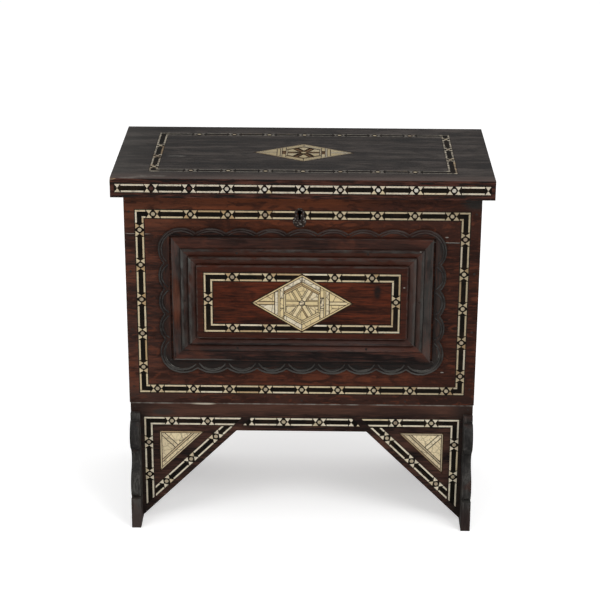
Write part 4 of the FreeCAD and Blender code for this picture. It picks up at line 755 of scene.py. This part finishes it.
@kept
def bone(name, colours, kind):
    """Polished bone: a tone for each slip, faint veins, and brown dirt."""
    slip = Finish(name, colours)
    slip.tone = slip.ramp(slip.mark("tone"), *zip(BONE_STOPS, BONE_TONES[kind]))
    veins = slip.noise(620, detail=3, rough=0.6)
    slip.lay(slip.spread(veins, 0.40, 0.75, 0.0, 0.35), "bone_tan")
    smear = slip.noise(160, detail=5, rough=0.7)
    slip.lay(slip.spread(smear, *(WORN_SMEAR if kind == "worn" else SMEAR)), "paste_brown")
    slip.lay(slip.mark("rim"), "joint")
    if kind == "clean":
        slip.lay(slip.spread(slip.axis("X"), *DIRTIER_RIGHT), "paste_brown")
    elif kind == "dull":
        slip.lay(0.3, "paste_brown")
    elif kind == "worn":
        off = slip.sum("ABSOLUTE", slip.axis("X"))
        slip.lay(slip.spread(off, *LID_LONG_SIDES), "lid_line")
    slip.relief(veins, RELIEF["bone"])
    return slip.coat(slip.spread(smear, 0.3, 0.7, 0.30, 0.55), 0.4)


@kept
def shell(name, colours, kind):
    """Shell: a tone for each slip with cloudy tints, and a smooth gloss."""
    slip = Finish(name, colours)
    cloud = slip.sum("MULTIPLY", slip.noise(210, detail=4, twist=1.5), 0.45)
    cloud = slip.sum("MULTIPLY_ADD", slip.mark("tone"), 0.65, cloud)
    slip.tone = slip.ramp(cloud, *zip(SHELL_STOPS, SHELL_TONES[kind]))
    dirt = slip.noise(300, detail=5, rough=0.7)
    slip.lay(slip.spread(dirt, 0.50, 0.72, 0.0, 0.55), "glue")
    if kind in SHELL_CRACKS:
        cracks = slip.spread(slip.cells(SHELL_CRACKS[kind]), 0.012, 0.035, 0.8, 0.0)
        slip.lay(cracks, "joint")
    if kind in SHELL_CRACKS or kind == "dull":
        slip.lay(slip.mark("rim"), "joint")
    if kind == "dull":
        slip.lay(0.35, "paste_brown")
    if kind == "edge":
        slip.lay(slip.spread(slip.axis("X"), *LOST_DOTS), "lost_shell")
    slip.relief(dirt, RELIEF["shell"])
    return slip.coat(slip.spread(dirt, 0.3, 0.7, 0.20, 0.45), 0.45)


@kept
def paste(name, colours, kind):
    """The slips' bed: black paste in the borders, brown glue in the plates and empty beds."""
    bed = Finish(name, colours)
    grit = bed.noise(900, detail=4, rough=0.65)
    bed.tone, other = PASTE_TONES[kind]
    bed.lay(bed.spread(bed.noise(70, detail=3), 0.48, 0.72), other)
    bed.lay(bed.spread(grit, 0.62, 0.80, 0.0, 0.2), "worn_grey")
    bed.relief(grit, RELIEF["paste"])
    return bed.coat(bed.spread(grit, 0.3, 0.7, 0.5, 0.75), 0.08)


@kept
def black_iron(name, colours, kind):
    """Blackened iron with rust and rubbed places; dull on nails, with painted glints on the plate.
    """
    iron = Finish(name, colours)
    iron.tone, scale, low, most, metal = IRON[kind]
    clouds = iron.noise(150, detail=5, rough=0.65)
    pits = iron.noise(scale, detail=3, rough=0.6)
    iron.lay(iron.spread(clouds, 0.52, 0.70, 0.0, 0.5), "rust")
    # rubbed places; on the keyhole plate these bright flecks are painted glints
    iron.lay(iron.spread(pits, low, low + 0.14, 0.0, most), "iron_bright")
    iron.relief(pits, RELIEF["iron"])
    return iron.coat(iron.spread(clouds, 0.3, 0.7, 0.38, 0.66), 0.25, metal)


def merged_copy(node):
    """A node's own shape, with its triangles joined into whole faces."""
    shape = bmesh.new()
    shape.from_mesh(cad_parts[node].data)
    bmesh.ops.remove_doubles(shape, verts=shape.verts, dist=MERGE_DISTANCE)
    bmesh.ops.dissolve_limit(shape, angle_limit=FLAT_ANGLE, verts=shape.verts, edges=shape.edges)
    return shape


def width_beside(face, edge):
    """How far a face reaches away from one of its edges."""
    start = edge.verts[0].co
    along = (edge.verts[1].co - start).normalized()
    across = face.normal.cross(along)
    return max(abs((vert.co - start).dot(across)) for vert in face.verts)


def soften(shape, width, least):
    """Rounds the outward corners between faces wider than least, and marks them as worn."""
    wear_and_highlight = shape.faces.layers.float.new("wear_and_highlight")
    corners = [edge for edge in shape.edges
               if edge.is_manifold and edge.is_convex and edge.calc_face_angle() > CORNER_ANGLE
               and min(width_beside(face, edge) for face in edge.link_faces) > least]
    made = bmesh.ops.bevel(shape, geom=corners, offset=width, offset_type="OFFSET", segments=3,
                           profile=0.5, affect="EDGES", clamp_overlap=True, material=-1)
    for face in made["faces"]:
        face[wear_and_highlight] = 1.0
        face.smooth = True


def mark_tones(shape, seed):
    """Gives each separate slip of inlay a tone of its own; the small triangles are duller."""
    dice = random.Random(seed)
    tone = shape.faces.layers.float.new("tone")
    waiting = set(shape.faces)
    for first in shape.faces:
        if first not in waiting:
            continue
        waiting.discard(first)
        slip = [first]
        for face in slip:
            beside = [other for edge in face.edges for other in edge.link_faces if other in waiting]
            waiting.difference_update(beside)
            slip.extend(beside)
        value = dice.random()
        if len(slip) == TRIANGLE_FACES:
            value /= 2
        for face in slip:
            face[tone] = value


def stain_rims(shape, outward, width):
    """Sets off a rim around the outer face of each slip, and marks it as stained."""
    rim = shape.faces.layers.float.new("rim")
    for top in [face for face in shape.faces if face.normal.dot(outward) > SQUARE]:
        breadth = 2 * top.calc_area() / top.calc_perimeter()
        made = bmesh.ops.inset_individual(shape, faces=[top], use_even_offset=True,
                                          thickness=min(width, RIM_SHARE * breadth))
        for face in made["faces"]:
            face[rim] = 1.0


def finish_piece(name, shape, materials, body, slot, *nodes):
    """Turns a shape into a piece that rides on a body and stands for its nodes."""
    mesh = bpy.data.meshes.new(name)
    shape.to_mesh(mesh)
    shape.free()
    for material in materials:
        mesh.materials.append(material)
    piece = bpy.data.objects.new(name, mesh)
    bpy.context.scene.collection.objects.link(piece)
    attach(piece, body)
    if nodes:
        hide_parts(*nodes)
    return piece


def soft_board(node, material, body, slot, width, least):
    """A board as its node has it, with worn edges."""
    shape = merged_copy(node)
    soften(shape, width, least)
    return finish_piece(f"soft_{node}", shape, [material], body, slot, node)


def paint_node(node, material):
    """Gives a node that keeps its own shape a better finish."""
    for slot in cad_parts[node].material_slots:
        slot.material = material


def only_verts(geometry):
    """The vertices among what a bmesh operator made."""
    return [item for item in geometry if isinstance(item, bmesh.types.BMVert)]


def circle_through(first, middle, last):
    """Centre and radius of the circle through three points of a plane."""
    (ax, az), (bx, bz), (cx, cz) = first, middle, last
    twice = 2 * (ax * (bz - cz) + bx * (cz - az) + cx * (az - bz))
    a, b, c = ax * ax + az * az, bx * bx + bz * bz, cx * cx + cz * cz
    x = (a * (bz - cz) + b * (cz - az) + c * (az - bz)) / twice
    z = (a * (cx - bx) + b * (ax - cx) + c * (bx - ax)) / twice
    return (x, z), math.hypot(ax - x, az - z)


def cusps_along(low, high, spacing, count):
    """The cusps of a side's lobes around its middle, and how far they reach from it."""
    half = count * spacing / 2
    return [(low + high) / 2 - half + spacing * step for step in range(count + 1)], half


def lobe_arcs(shapes):
    """Each lobe's arc around the carved frame: three points in X and Z with their ways inward."""
    left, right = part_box("left_scallop")[0].x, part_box("right_scallop")[1].x
    low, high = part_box("bottom_scallop")[0].z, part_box("top_scallop")[1].z
    depth = shapes.lobe_depth
    xs, half_x = cusps_along(left, right, shapes.lobe_width, shapes.lobes_across)
    zs, half_z = cusps_along(low, high, shapes.lobe_height, shapes.lobes_up)
    # a corner lobe's circle touches the lines that the other lobes reach on both sides
    run = ((right - left) / 2 - half_x + (high - low) / 2 - half_z) / 2
    inset = (run + depth - math.sqrt(2 * run * depth)) * (1 - math.sqrt(0.5))
    sides = (
        ([(x, low + depth) for x in xs], (0, -1), (right - inset, low + inset)),
        ([(right - depth, z) for z in zs], (1, 0), (right - inset, high - inset)),
        ([(x, high - depth) for x in reversed(xs)], (0, 1), (left + inset, high - inset)),
        ([(left + depth, z) for z in reversed(zs)], (-1, 0), (left + inset, low + inset)),
    )
    arcs = []
    for index, (cusps, outward, corner) in enumerate(sides):
        inward = [-part for part in outward]
        for start, end in zip(cusps, cusps[1:]):
            middle = [(a + b) / 2 + o * depth for a, b, o in zip(start, end, outward)]
            arcs.append(((start, inward), (middle, inward), (end, inward)))
        next_cusps, next_outward, _ = sides[(index + 1) % len(sides)]
        next_inward = [-part for part in next_outward]
        diagonal = [(a + b) * math.sqrt(0.5) for a, b in zip(inward, next_inward)]
        arcs.append(((cusps[-1], inward), (corner, diagonal), (next_cusps[0], next_inward)))
    return arcs


def bead_arc(lobe, inset, lift, tuck):
    """A lobe's arc, its middle moved inward, and its ends moved inward and towards the middle."""
    middle, inward = lobe[1]
    arc = [[part + way * inset for part, way in zip(middle, inward)]]
    for place in (0, 2):
        point, way = map(Vector, lobe[place])
        towards = Vector(middle) - point
        across = (towards - way * towards.dot(way)).normalized()
        arc.insert(place, list(point + way * lift + across * tuck))
    return arc


def add_bead(beads, arc, level, width, rise, dice):
    """A half-sunk round bead along an arc, uneven from the knife and tapering to its ends."""
    shape = bmesh.new()
    (x, z), radius = circle_through(*arc)
    begin = math.atan2(arc[0][1] - z, arc[0][0] - x)
    turn = (math.atan2(arc[2][1] - z, arc[2][0] - x) - begin) % math.tau
    steps = max(LEAST_STEPS, round(radius * turn / BEAD_STEP))
    up = Vector((0, 1, 0))
    rings = []
    for step in range(steps + 1):
        angle = begin + turn * step / steps
        full = BEAD_END + (1 - BEAD_END) * math.sin(math.pi * step / steps)
        full *= dice.uniform(*KNIFE_SIZES)
        outward = Vector((math.cos(angle), 0, math.sin(angle)))
        middle = Vector((x, level, z)) + outward * (radius + dice.uniform(*KNIFE_SWAY) * width)
        turned = Matrix((outward, up, outward.cross(up))).transposed().to_4x4()
        sized = Matrix.Diagonal((full * width / 2, full * rise, 1, 1))
        bmesh.ops.create_circle(shape, segments=BEAD_CORNERS, radius=1,
                                matrix=Matrix.Translation(middle) @ turned @ sized)
        rings.append(shape.edges[-BEAD_CORNERS:])
    for ring, after in zip(rings, rings[1:]):
        bmesh.ops.bridge_loops(shape, edges=ring + after)
    bmesh.ops.holes_fill(shape, edges=rings[0] + rings[-1], sides=BEAD_CORNERS)
    mesh = bpy.data.meshes.new("bead")
    shape.to_mesh(mesh)
    shape.free()
    beads.from_mesh(mesh)
    bpy.data.meshes.remove(mesh)


def rounded(start, top, radius, turn):
    """A point of a section's rounded edge that starts upright and turns over to flat."""
    return start + radius * (1 - math.cos(turn)), top - radius * (1 - math.sin(turn))


def moulding_section(shapes, width, height):
    """A moulding's section, from its outer edge in to the field.

    Each point has its distance from the outer edge, its height off the front, and the marks of the
    face after it.
    """
    fascia = width - 2 * shapes.step_run
    nose = shapes.nose_round
    floor = height - 2 * shapes.step_rise
    points = [(0.0, 0.0, PLAIN)]
    for turn in NOSE_TURNS:
        marks = OUTER_EDGE if turn < NOSE_TURNS[-1] else PLAIN
        points.append((*rounded(0.0, floor, shapes.fascia_edge, turn), marks))
    for step in (0, 1):
        root = fascia + step * shapes.step_run
        crown = height - (1 - step) * shapes.step_rise
        # the groove in front of each nose, marked for grime and painted shade
        points.append((root - shapes.root_width, floor, GROOVE))
        points.append((root, floor - shapes.root_width / 2, GROOVE))
        points.extend((*rounded(root, crown, nose, turn), NOSE) for turn in NOSE_TURNS)
        reach = shapes.step_run - nose
        for share, marks in TREAD:
            points.append((root + nose + reach * share, crown - shapes.hollow * share ** 2, marks))
        floor = crown - shapes.hollow
    return points + [(width, floor, PLAIN), (width, 0.0, PLAIN)]


def moulding_shape(shapes, side, strengths):
    """One side's moulding, drawn from its section between the mitres at its two ends."""
    low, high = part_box(f"{side}_moulding")
    along, across = (0, 2) if side in ("top", "bottom") else (2, 0)
    end_low, end_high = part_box("left_moulding" if along == 0 else "top_moulding")
    width = (high - low)[across]
    fascia = width - 2 * shapes.step_run
    end_fascia = (end_high - end_low)[along] - 2 * shapes.step_run
    outer, inward = (low[across], 1) if side in ("bottom", "left") else (high[across], -1)
    section = moulding_section(shapes, width, high.y - low.y)
    shape = bmesh.new()
    layers = [shape.faces.layers.float.new(name) for name in MOULDING_MARKS]
    number_of = shape.verts.layers.int.new("number")
    for count, (distance, rise, _) in enumerate(section):
        point = Vector((0, high.y - rise, 0))
        point[across] = outer + inward * distance
        shape.verts.new(point)[number_of] = count
    end = shape.faces.new(shape.verts)
    far = only_verts(bmesh.ops.extrude_face_region(shape, geom=[end])["geom"])
    for vert in shape.verts:
        distance = section[vert[number_of]][0]
        past = distance - fascia
        mitre = end_fascia * distance / fascia if past < 0 else end_fascia + past
        vert.co[along] = high[along] - mitre if vert in far else low[along] + mitre
    for face in shape.faces:
        numbers = {vert[number_of] for vert in face.verts}
        if len(numbers) == 2:
            closing = numbers == {0, len(section) - 1}
            marks = section[max(numbers) if closing else min(numbers)][2]
            for layer, mark, strength in zip(layers, marks, strengths):
                face[layer] = mark * strength
            face.smooth = marks[0] > 0
    shape.verts.layers.int.remove(number_of)
    bmesh.ops.recalc_face_normals(shape, faces=shape.faces)
    return shape


def user_settings(context):
    """The scene's shapes and colours."""
    return context.scene.chest_shapes, context.scene.chest_colours


class StageOperator(bpy.types.Operator):
    """Make the pale floor, the soft studio light and the camera"""
    bl_idname = "chest.stage"
    bl_label = "Stage"

    def execute(self, context):
        stage = context.scene.chest_stage
        self.floor(stage)
        self.sky(context.scene, stage)
        self.soft_box("soft_box_left", -1, stage.left_power)
        self.soft_box("soft_box_right", 1, stage.right_power)
        self.camera(context.scene, stage)
        context.scene.view_settings.view_transform = "Standard"
        return {"FINISHED"}

    def floor(self, stage):
        """A wide pale floor under the feet."""
        shape = bmesh.new()
        bmesh.ops.create_grid(shape, x_segments=4, y_segments=4, size=FLOOR_REACH)
        bmesh.ops.translate(shape, verts=shape.verts, vec=(0, 0, CAD_BOX[0].z - FLOOR_DROP))
        mesh = bpy.data.meshes.new("floor")
        shape.to_mesh(mesh)
        shape.free()
        paint = Finish("floor_paint")
        paint.tone = stage.floor_colour
        paint.lay(paint.spread(paint.noise(3, detail=2), 0.3, 0.7, 0.0, 0.02), FLOOR_DUST)
        paint.coat(0.9, 0.0)
        paint.shader.inputs["Emission Color"].default_value = WHITE
        paint.shader.inputs["Emission Strength"].default_value = stage.floor_glow
        mesh.materials.append(paint.material)
        floor = bpy.data.objects.new("floor", mesh)
        bpy.context.scene.collection.objects.link(floor)
        floor.visible_glossy = False

    def lamp(self, name, power, size):
        """A flat soft light with that width and height."""
        light = bpy.data.lights.new(name, "AREA")
        light.shape = "RECTANGLE"
        light.size, light.size_y = size
        light.energy = power
        lamp = bpy.data.objects.new(name, light)
        bpy.context.scene.collection.objects.link(lamp)
        return lamp

    def sky(self, scene, stage):
        """Even light all round, and a wide soft ceiling above."""
        world = bpy.data.worlds.new("studio")
        world.use_nodes = True
        background = next(n for n in world.node_tree.nodes if n.type == "BACKGROUND")
        background.inputs["Color"].default_value = WHITE
        background.inputs["Strength"].default_value = stage.room_light
        scene.world = world
        ceiling = self.lamp("ceiling", stage.ceiling_power, [stage.ceiling_width] * 2)
        ceiling.location = (0, CEILING_BACK, stage.ceiling_height)

    def soft_box(self, name, side, power):
        """A large soft box high on one side, in front."""
        lamp = self.lamp(name, power, SOFT_BOX_SIZE)
        x, y, z = SOFT_BOX_PLACE
        lamp.location = (side * x, y, z)
        lamp.rotation_mode = "QUATERNION"
        aim = Vector(SOFT_BOX_AIM) - lamp.location
        lamp.rotation_quaternion = aim.to_track_quat("-Z", "Y")

    def camera(self, scene, stage):
        """The photograph's viewpoint."""
        turns = ((-stage.yaw, "Z"), (math.pi / 2 - stage.pitch, "X"), (-stage.roll, "Z"))
        place = Matrix.Translation(stage.camera_place)
        for angle, axis in turns:
            place = place @ Matrix.Rotation(angle, 4, axis)
        data = bpy.data.cameras.new("camera")
        data.lens = stage.lens
        data.sensor_width = SENSOR_WIDTH
        camera = bpy.data.objects.new("camera", data)
        camera.matrix_world = place
        scene.collection.objects.link(camera)
        scene.camera = camera


class LidOperator(bpy.types.Operator):
    """Make the lid's board with its worn edges and the chip at its front left corner"""
    bl_idname = "chest.lid"
    bl_label = "Lid board"

    def execute(self, context):
        shapes, colours = user_settings(context)
        shape = merged_copy("lid_board")
        soften(shape, shapes.board_edge, BOARD_LEAST)
        low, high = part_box("lid_board")
        corner = Vector((low.x, low.y, high.z))
        chip = shapes.chip_length
        reach = Vector((chip, chip / 2, chip / 3))
        slope = Vector((-1 / reach.x, -1 / reach.y, 1 / reach.z)).normalized()
        cut = bmesh.ops.bisect_plane(shape, geom=shape.verts[:] + shape.edges[:] + shape.faces[:],
                                     plane_co=corner + Vector((reach.x, 0, 0)), plane_no=slope,
                                     clear_outer=True)
        rim = [edge for edge in cut["geom_cut"] if isinstance(edge, bmesh.types.BMEdge)]
        for face in bmesh.ops.contextual_create(shape, geom=rim)["faces"]:
            face.material_index = 1
        for face in shape.faces:
            if face.normal.z < -SQUARE:
                face.material_index = 2
        materials = [lid_wood(colours, "X"), bare_wood(colours, "X"),
                     plain_board(colours, "lid_board", "X")]
        finish_piece("soft_lid_board", shape, materials, "lid", "lid_wood", "lid_board")
        return {"FINISHED"}


class CaseOperator(bpy.types.Operator):
    """Make the boards of the case"""
    bl_idname = "chest.case"
    bl_label = "Case boards"

    def execute(self, context):
        shapes, colours = user_settings(context)
        boards = (("front_board", red_wood(colours, "X"), "front_wood"),
                  ("left_side_board", red_wood(colours, "Y"), "side_wood"),
                  ("right_side_board", red_wood(colours, "Y"), "side_wood"),
                  ("back_board", plain_board(colours, "back_board", "X"), "plain_wood"),
                  ("bottom_board", plain_board(colours, "bottom_board", "X"), "plain_wood"))
        for node, material, slot in boards:
            soft_board(node, material, "case", slot, shapes.board_edge, BOARD_LEAST)
        return {"FINISHED"}


class PanelOperator(bpy.types.Operator):
    """Make the raised field and the stepped mouldings around it"""
    bl_idname = "chest.panel"
    bl_label = "Field and mouldings"

    def execute(self, context):
        shapes, colours = user_settings(context)
        soft_board("field_panel", field_wood(colours, "X"), "case", "front_wood",
                   shapes.field_edge, FIELD_LEAST)
        for side, (grain, strengths) in MOULDINGS.items():
            shape = moulding_shape(shapes, side, strengths)
            finish_piece(f"stepped_{side}_moulding", shape, [moulding_wood(colours, grain)],
                         "case", "moulding_wood", f"{side}_moulding")
        return {"FINISHED"}


class ScallopOperator(bpy.types.Operator):
    """Carve the scalloped strips: sunk lunettes, and two beads along each lobe"""
    bl_idname = "chest.scallops"
    bl_label = "Scalloped strips"

    def execute(self, context):
        shapes, colours = user_settings(context)
        self.strips(shapes, colours)
        self.beads(shapes, colours)
        return {"FINISHED"}

    def strips(self, shapes, colours):
        """The strips, thinner by the height of the beads that lie on them."""
        low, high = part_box("bottom_scallop")
        share = 1 - shapes.bead_rise / (high.y - low.y)
        for side, (grain, _) in MOULDINGS.items():
            node = f"{side}_scallop"
            shape = merged_copy(node)
            bmesh.ops.scale(shape, verts=shape.verts, vec=(1, share, 1),
                            space=Matrix.Translation((0, -high.y, 0)))
            soften(shape, shapes.strip_edge, STRIP_LEAST)
            finish_piece(f"carved_{node}", shape, [carved_wood(colours, grain)],
                         "case", "carved_wood", node)

    def room(self, lobe):
        """How far a bead can reach in from a lobe's cusps without leaving its strip."""
        low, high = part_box("bottom_scallop")[1].z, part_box("top_scallop")[0].z
        left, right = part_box("left_scallop")[1].x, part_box("right_scallop")[0].x
        rooms = []
        for (x, z), (way_x, way_z) in (lobe[0], lobe[2]):
            edge_x, edge_z = (left, low) if way_x + way_z > 0 else (right, high)
            rooms.append(abs(edge_x - x) if way_x else abs(edge_z - z))
        return min(rooms) * ROOM_SHARE

    def beads(self, shapes, colours):
        """Two beads along each lobe, and a pale line inside the low ones, painted as a highlight.
        """
        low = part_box("bottom_scallop")[0]
        level = low.y + shapes.bead_rise
        width, rise = shapes.bead_width, shapes.bead_rise
        beads = bmesh.new()
        dice = random.Random(1)
        lobes = lobe_arcs(shapes)
        for lobe in lobes:
            lift = min(shapes.bead_lift, self.room(lobe))
            for arc in (bead_arc(lobe, width / 2, width / 2, 0),
                        bead_arc(lobe, width * INNER_BEAD, lift, shapes.bead_tuck)):
                this_rise = rise * dice.uniform(*BEAD_RISES)
                this_width = width * dice.uniform(*BEAD_WIDTHS)
                add_bead(beads, arc, level, this_width, this_rise, dice)
        plain = len(beads.faces)
        for lobe in lobes:
            if lobe[1][0][1] < low.z + shapes.lobe_height:
                line = bead_arc(lobe, shapes.line_inset, shapes.bead_lift * LINE_LIFT,
                                shapes.bead_tuck * LINE_TUCK)
                add_bead(beads, line, level, shapes.line_width, rise / 2, dice)
        beads.faces.ensure_lookup_table()
        for face in beads.faces[plain:]:
            face.material_index = 1
        bmesh.ops.recalc_face_normals(beads, faces=beads.faces)
        # grey wear on the crests that face front, partly a painted highlight
        wear_and_highlight = beads.faces.layers.float.new("wear_and_highlight")
        for face in beads.faces:
            face.smooth = len(face.verts) == 4
            face[wear_and_highlight] = max(0.0, -face.normal.y) ** CREST_HIGHLIGHT_SHARPNESS
        finish_piece("scallop_beads", beads, [bead_wood(colours, "X"), dusty_wood(colours, "X")],
                     "case", "carved_wood")


class StandOperator(bpy.types.Operator):
    """Make the stand: its aprons, its shaped sides and the blocks in its corners"""
    bl_idname = "chest.stand"
    bl_label = "Stand"

    def execute(self, context):
        shapes, colours = user_settings(context)
        blocks = plain_board(colours, "stand_glue_blocks", "Z")
        boards = (("front_apron", stand_wood(colours, "X"), "stand_wood"),
                  ("left_stand_side", foot_wood(colours, "Z"), "stand_wood"),
                  ("right_stand_side", foot_wood(colours, "Z"), "stand_wood"),
                  ("back_apron", plain_board(colours, "back_apron", "X"), "plain_wood"),
                  ("stand_glue_blocks", blocks, "plain_wood"))
        for node, material, slot in boards:
            soft_board(node, material, "case", slot, shapes.stand_edge, BOARD_LEAST)
        return {"FINISHED"}


class InlayOperator(bpy.types.Operator):
    """Lay the bone, the shell and the dark paste of every border, plate and diamond"""
    bl_idname = "chest.inlay"
    bl_label = "Inlay"

    def execute(self, context):
        shapes, colours = user_settings(context)
        for seed, stem in enumerate(INLAY_STEMS):
            on_lid = stem.startswith("lid")
            mosaic = stem.endswith(("medallion", "plate"))
            outward = Vector((0, 0, 1)) if on_lid else Vector((0, -1, 0))
            finishes = {"ground": paste(colours, "brown" if mosaic else "black"),
                        "bone": bone(colours, BONE_KIND.get(stem, "clean")),
                        "pearl": shell(colours, SHELL_KIND.get(stem, "dots"))}
            for kind, material in finishes.items():
                node = f"{stem}_{kind}"
                shape = merged_copy(node)
                if mosaic and kind != "ground":
                    stain_rims(shape, outward, shapes.slip_rim)
                mark_tones(shape, seed)
                finish_piece(f"laid_{node}", shape, [material], "lid" if on_lid else "case",
                             kind, node)
        self.empty_bed(shapes, colours)
        return {"FINISHED"}

    def empty_bed(self, shapes, colours):
        """The glue that shows where slips are lost from the lid's diamond."""
        low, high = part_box("lid_medallion_bone")
        middle = (low + high) / 2
        shape = bmesh.new()
        foot = low.z + shapes.bed_foot
        corners = ((low.x, middle.y), (middle.x, low.y), (high.x, middle.y), (middle.x, high.y))
        base = shape.faces.new([shape.verts.new((x, y, foot)) for x, y in corners])
        raised = bmesh.ops.extrude_face_region(shape, geom=[base])["geom"]
        bmesh.ops.translate(shape, verts=only_verts(raised), vec=(0, 0, shapes.bed_height))
        bmesh.ops.recalc_face_normals(shape, faces=shape.faces)
        finish_piece("lid_medallion_bed", shape, [paste(colours, "empty")], "lid", "ground")


class IronOperator(bpy.types.Operator):
    """Finish the keyhole plate, the lock, the hinges, the nails and the screws"""
    bl_idname = "chest.iron"
    bl_label = "Ironwork"

    def execute(self, context):
        shapes, colours = user_settings(context)
        painted = {"old": ("case_screws", "lid_screws", "hinge_pins", "lock_key_pin"),
                   "nail": ("keyhole_plate_nails", "board_nails", "moulding_nails"),
                   "plate": ("keyhole_plate",)}
        for kind, nodes in painted.items():
            for node in nodes:
                paint_node(node, black_iron(colours, kind))
        plates = {"hinge_case_leaves": "case", "hinge_lid_leaves": "lid", "lock_case": "case",
                  "lock_cover": "case", "lock_bolt": "bolt", "lid_staple": "lid"}
        iron = black_iron(colours, "old")
        for node, body in plates.items():
            soft_board(node, iron, body, "iron", shapes.metal_edge, IRON_LEAST)
        return {"FINISHED"}


class ChestPanel(bpy.types.Panel):
    """The chest's pieces, and the sizes and colours that they take"""
    bl_idname = "VIEW3D_PT_chest"
    bl_label = "Inlaid Chest"
    bl_space_type = "VIEW_3D"
    bl_region_type = "UI"
    bl_category = "Chest"

    def draw(self, context):
        for operator in OPERATORS:
            self.layout.operator(operator.bl_idname)
        for group in (*user_settings(context), context.scene.chest_stage):
            box = self.layout.box()
            for name in group.__annotations__:
                box.prop(group, name)


OPERATORS = (StageOperator, LidOperator, CaseOperator, PanelOperator, ScallopOperator,
             StandOperator, InlayOperator, IronOperator)
GROUPS = {"chest_shapes": ChestShapes, "chest_colours": ChestColours, "chest_stage": ChestStage}
CLASSES = (*GROUPS.values(), *OPERATORS, ChestPanel)


def register():
    """Makes the classes known to Blender, and gives each scene its settings."""
    for item in CLASSES:
        bpy.utils.register_class(item)
    for name, group in GROUPS.items():
        setattr(bpy.types.Scene, name, PointerProperty(type=group))


def unregister():
    """Takes the settings and the classes out again."""
    for name in GROUPS:
        delattr(bpy.types.Scene, name)
    for item in reversed(CLASSES):
        bpy.utils.unregister_class(item)


def main():
    """Builds every piece in order."""
    register()
    for operator in OPERATORS:
        group, name = operator.bl_idname.split(".")
        getattr(getattr(bpy.ops, group), name)()


if __name__ == "__main__":
    main()
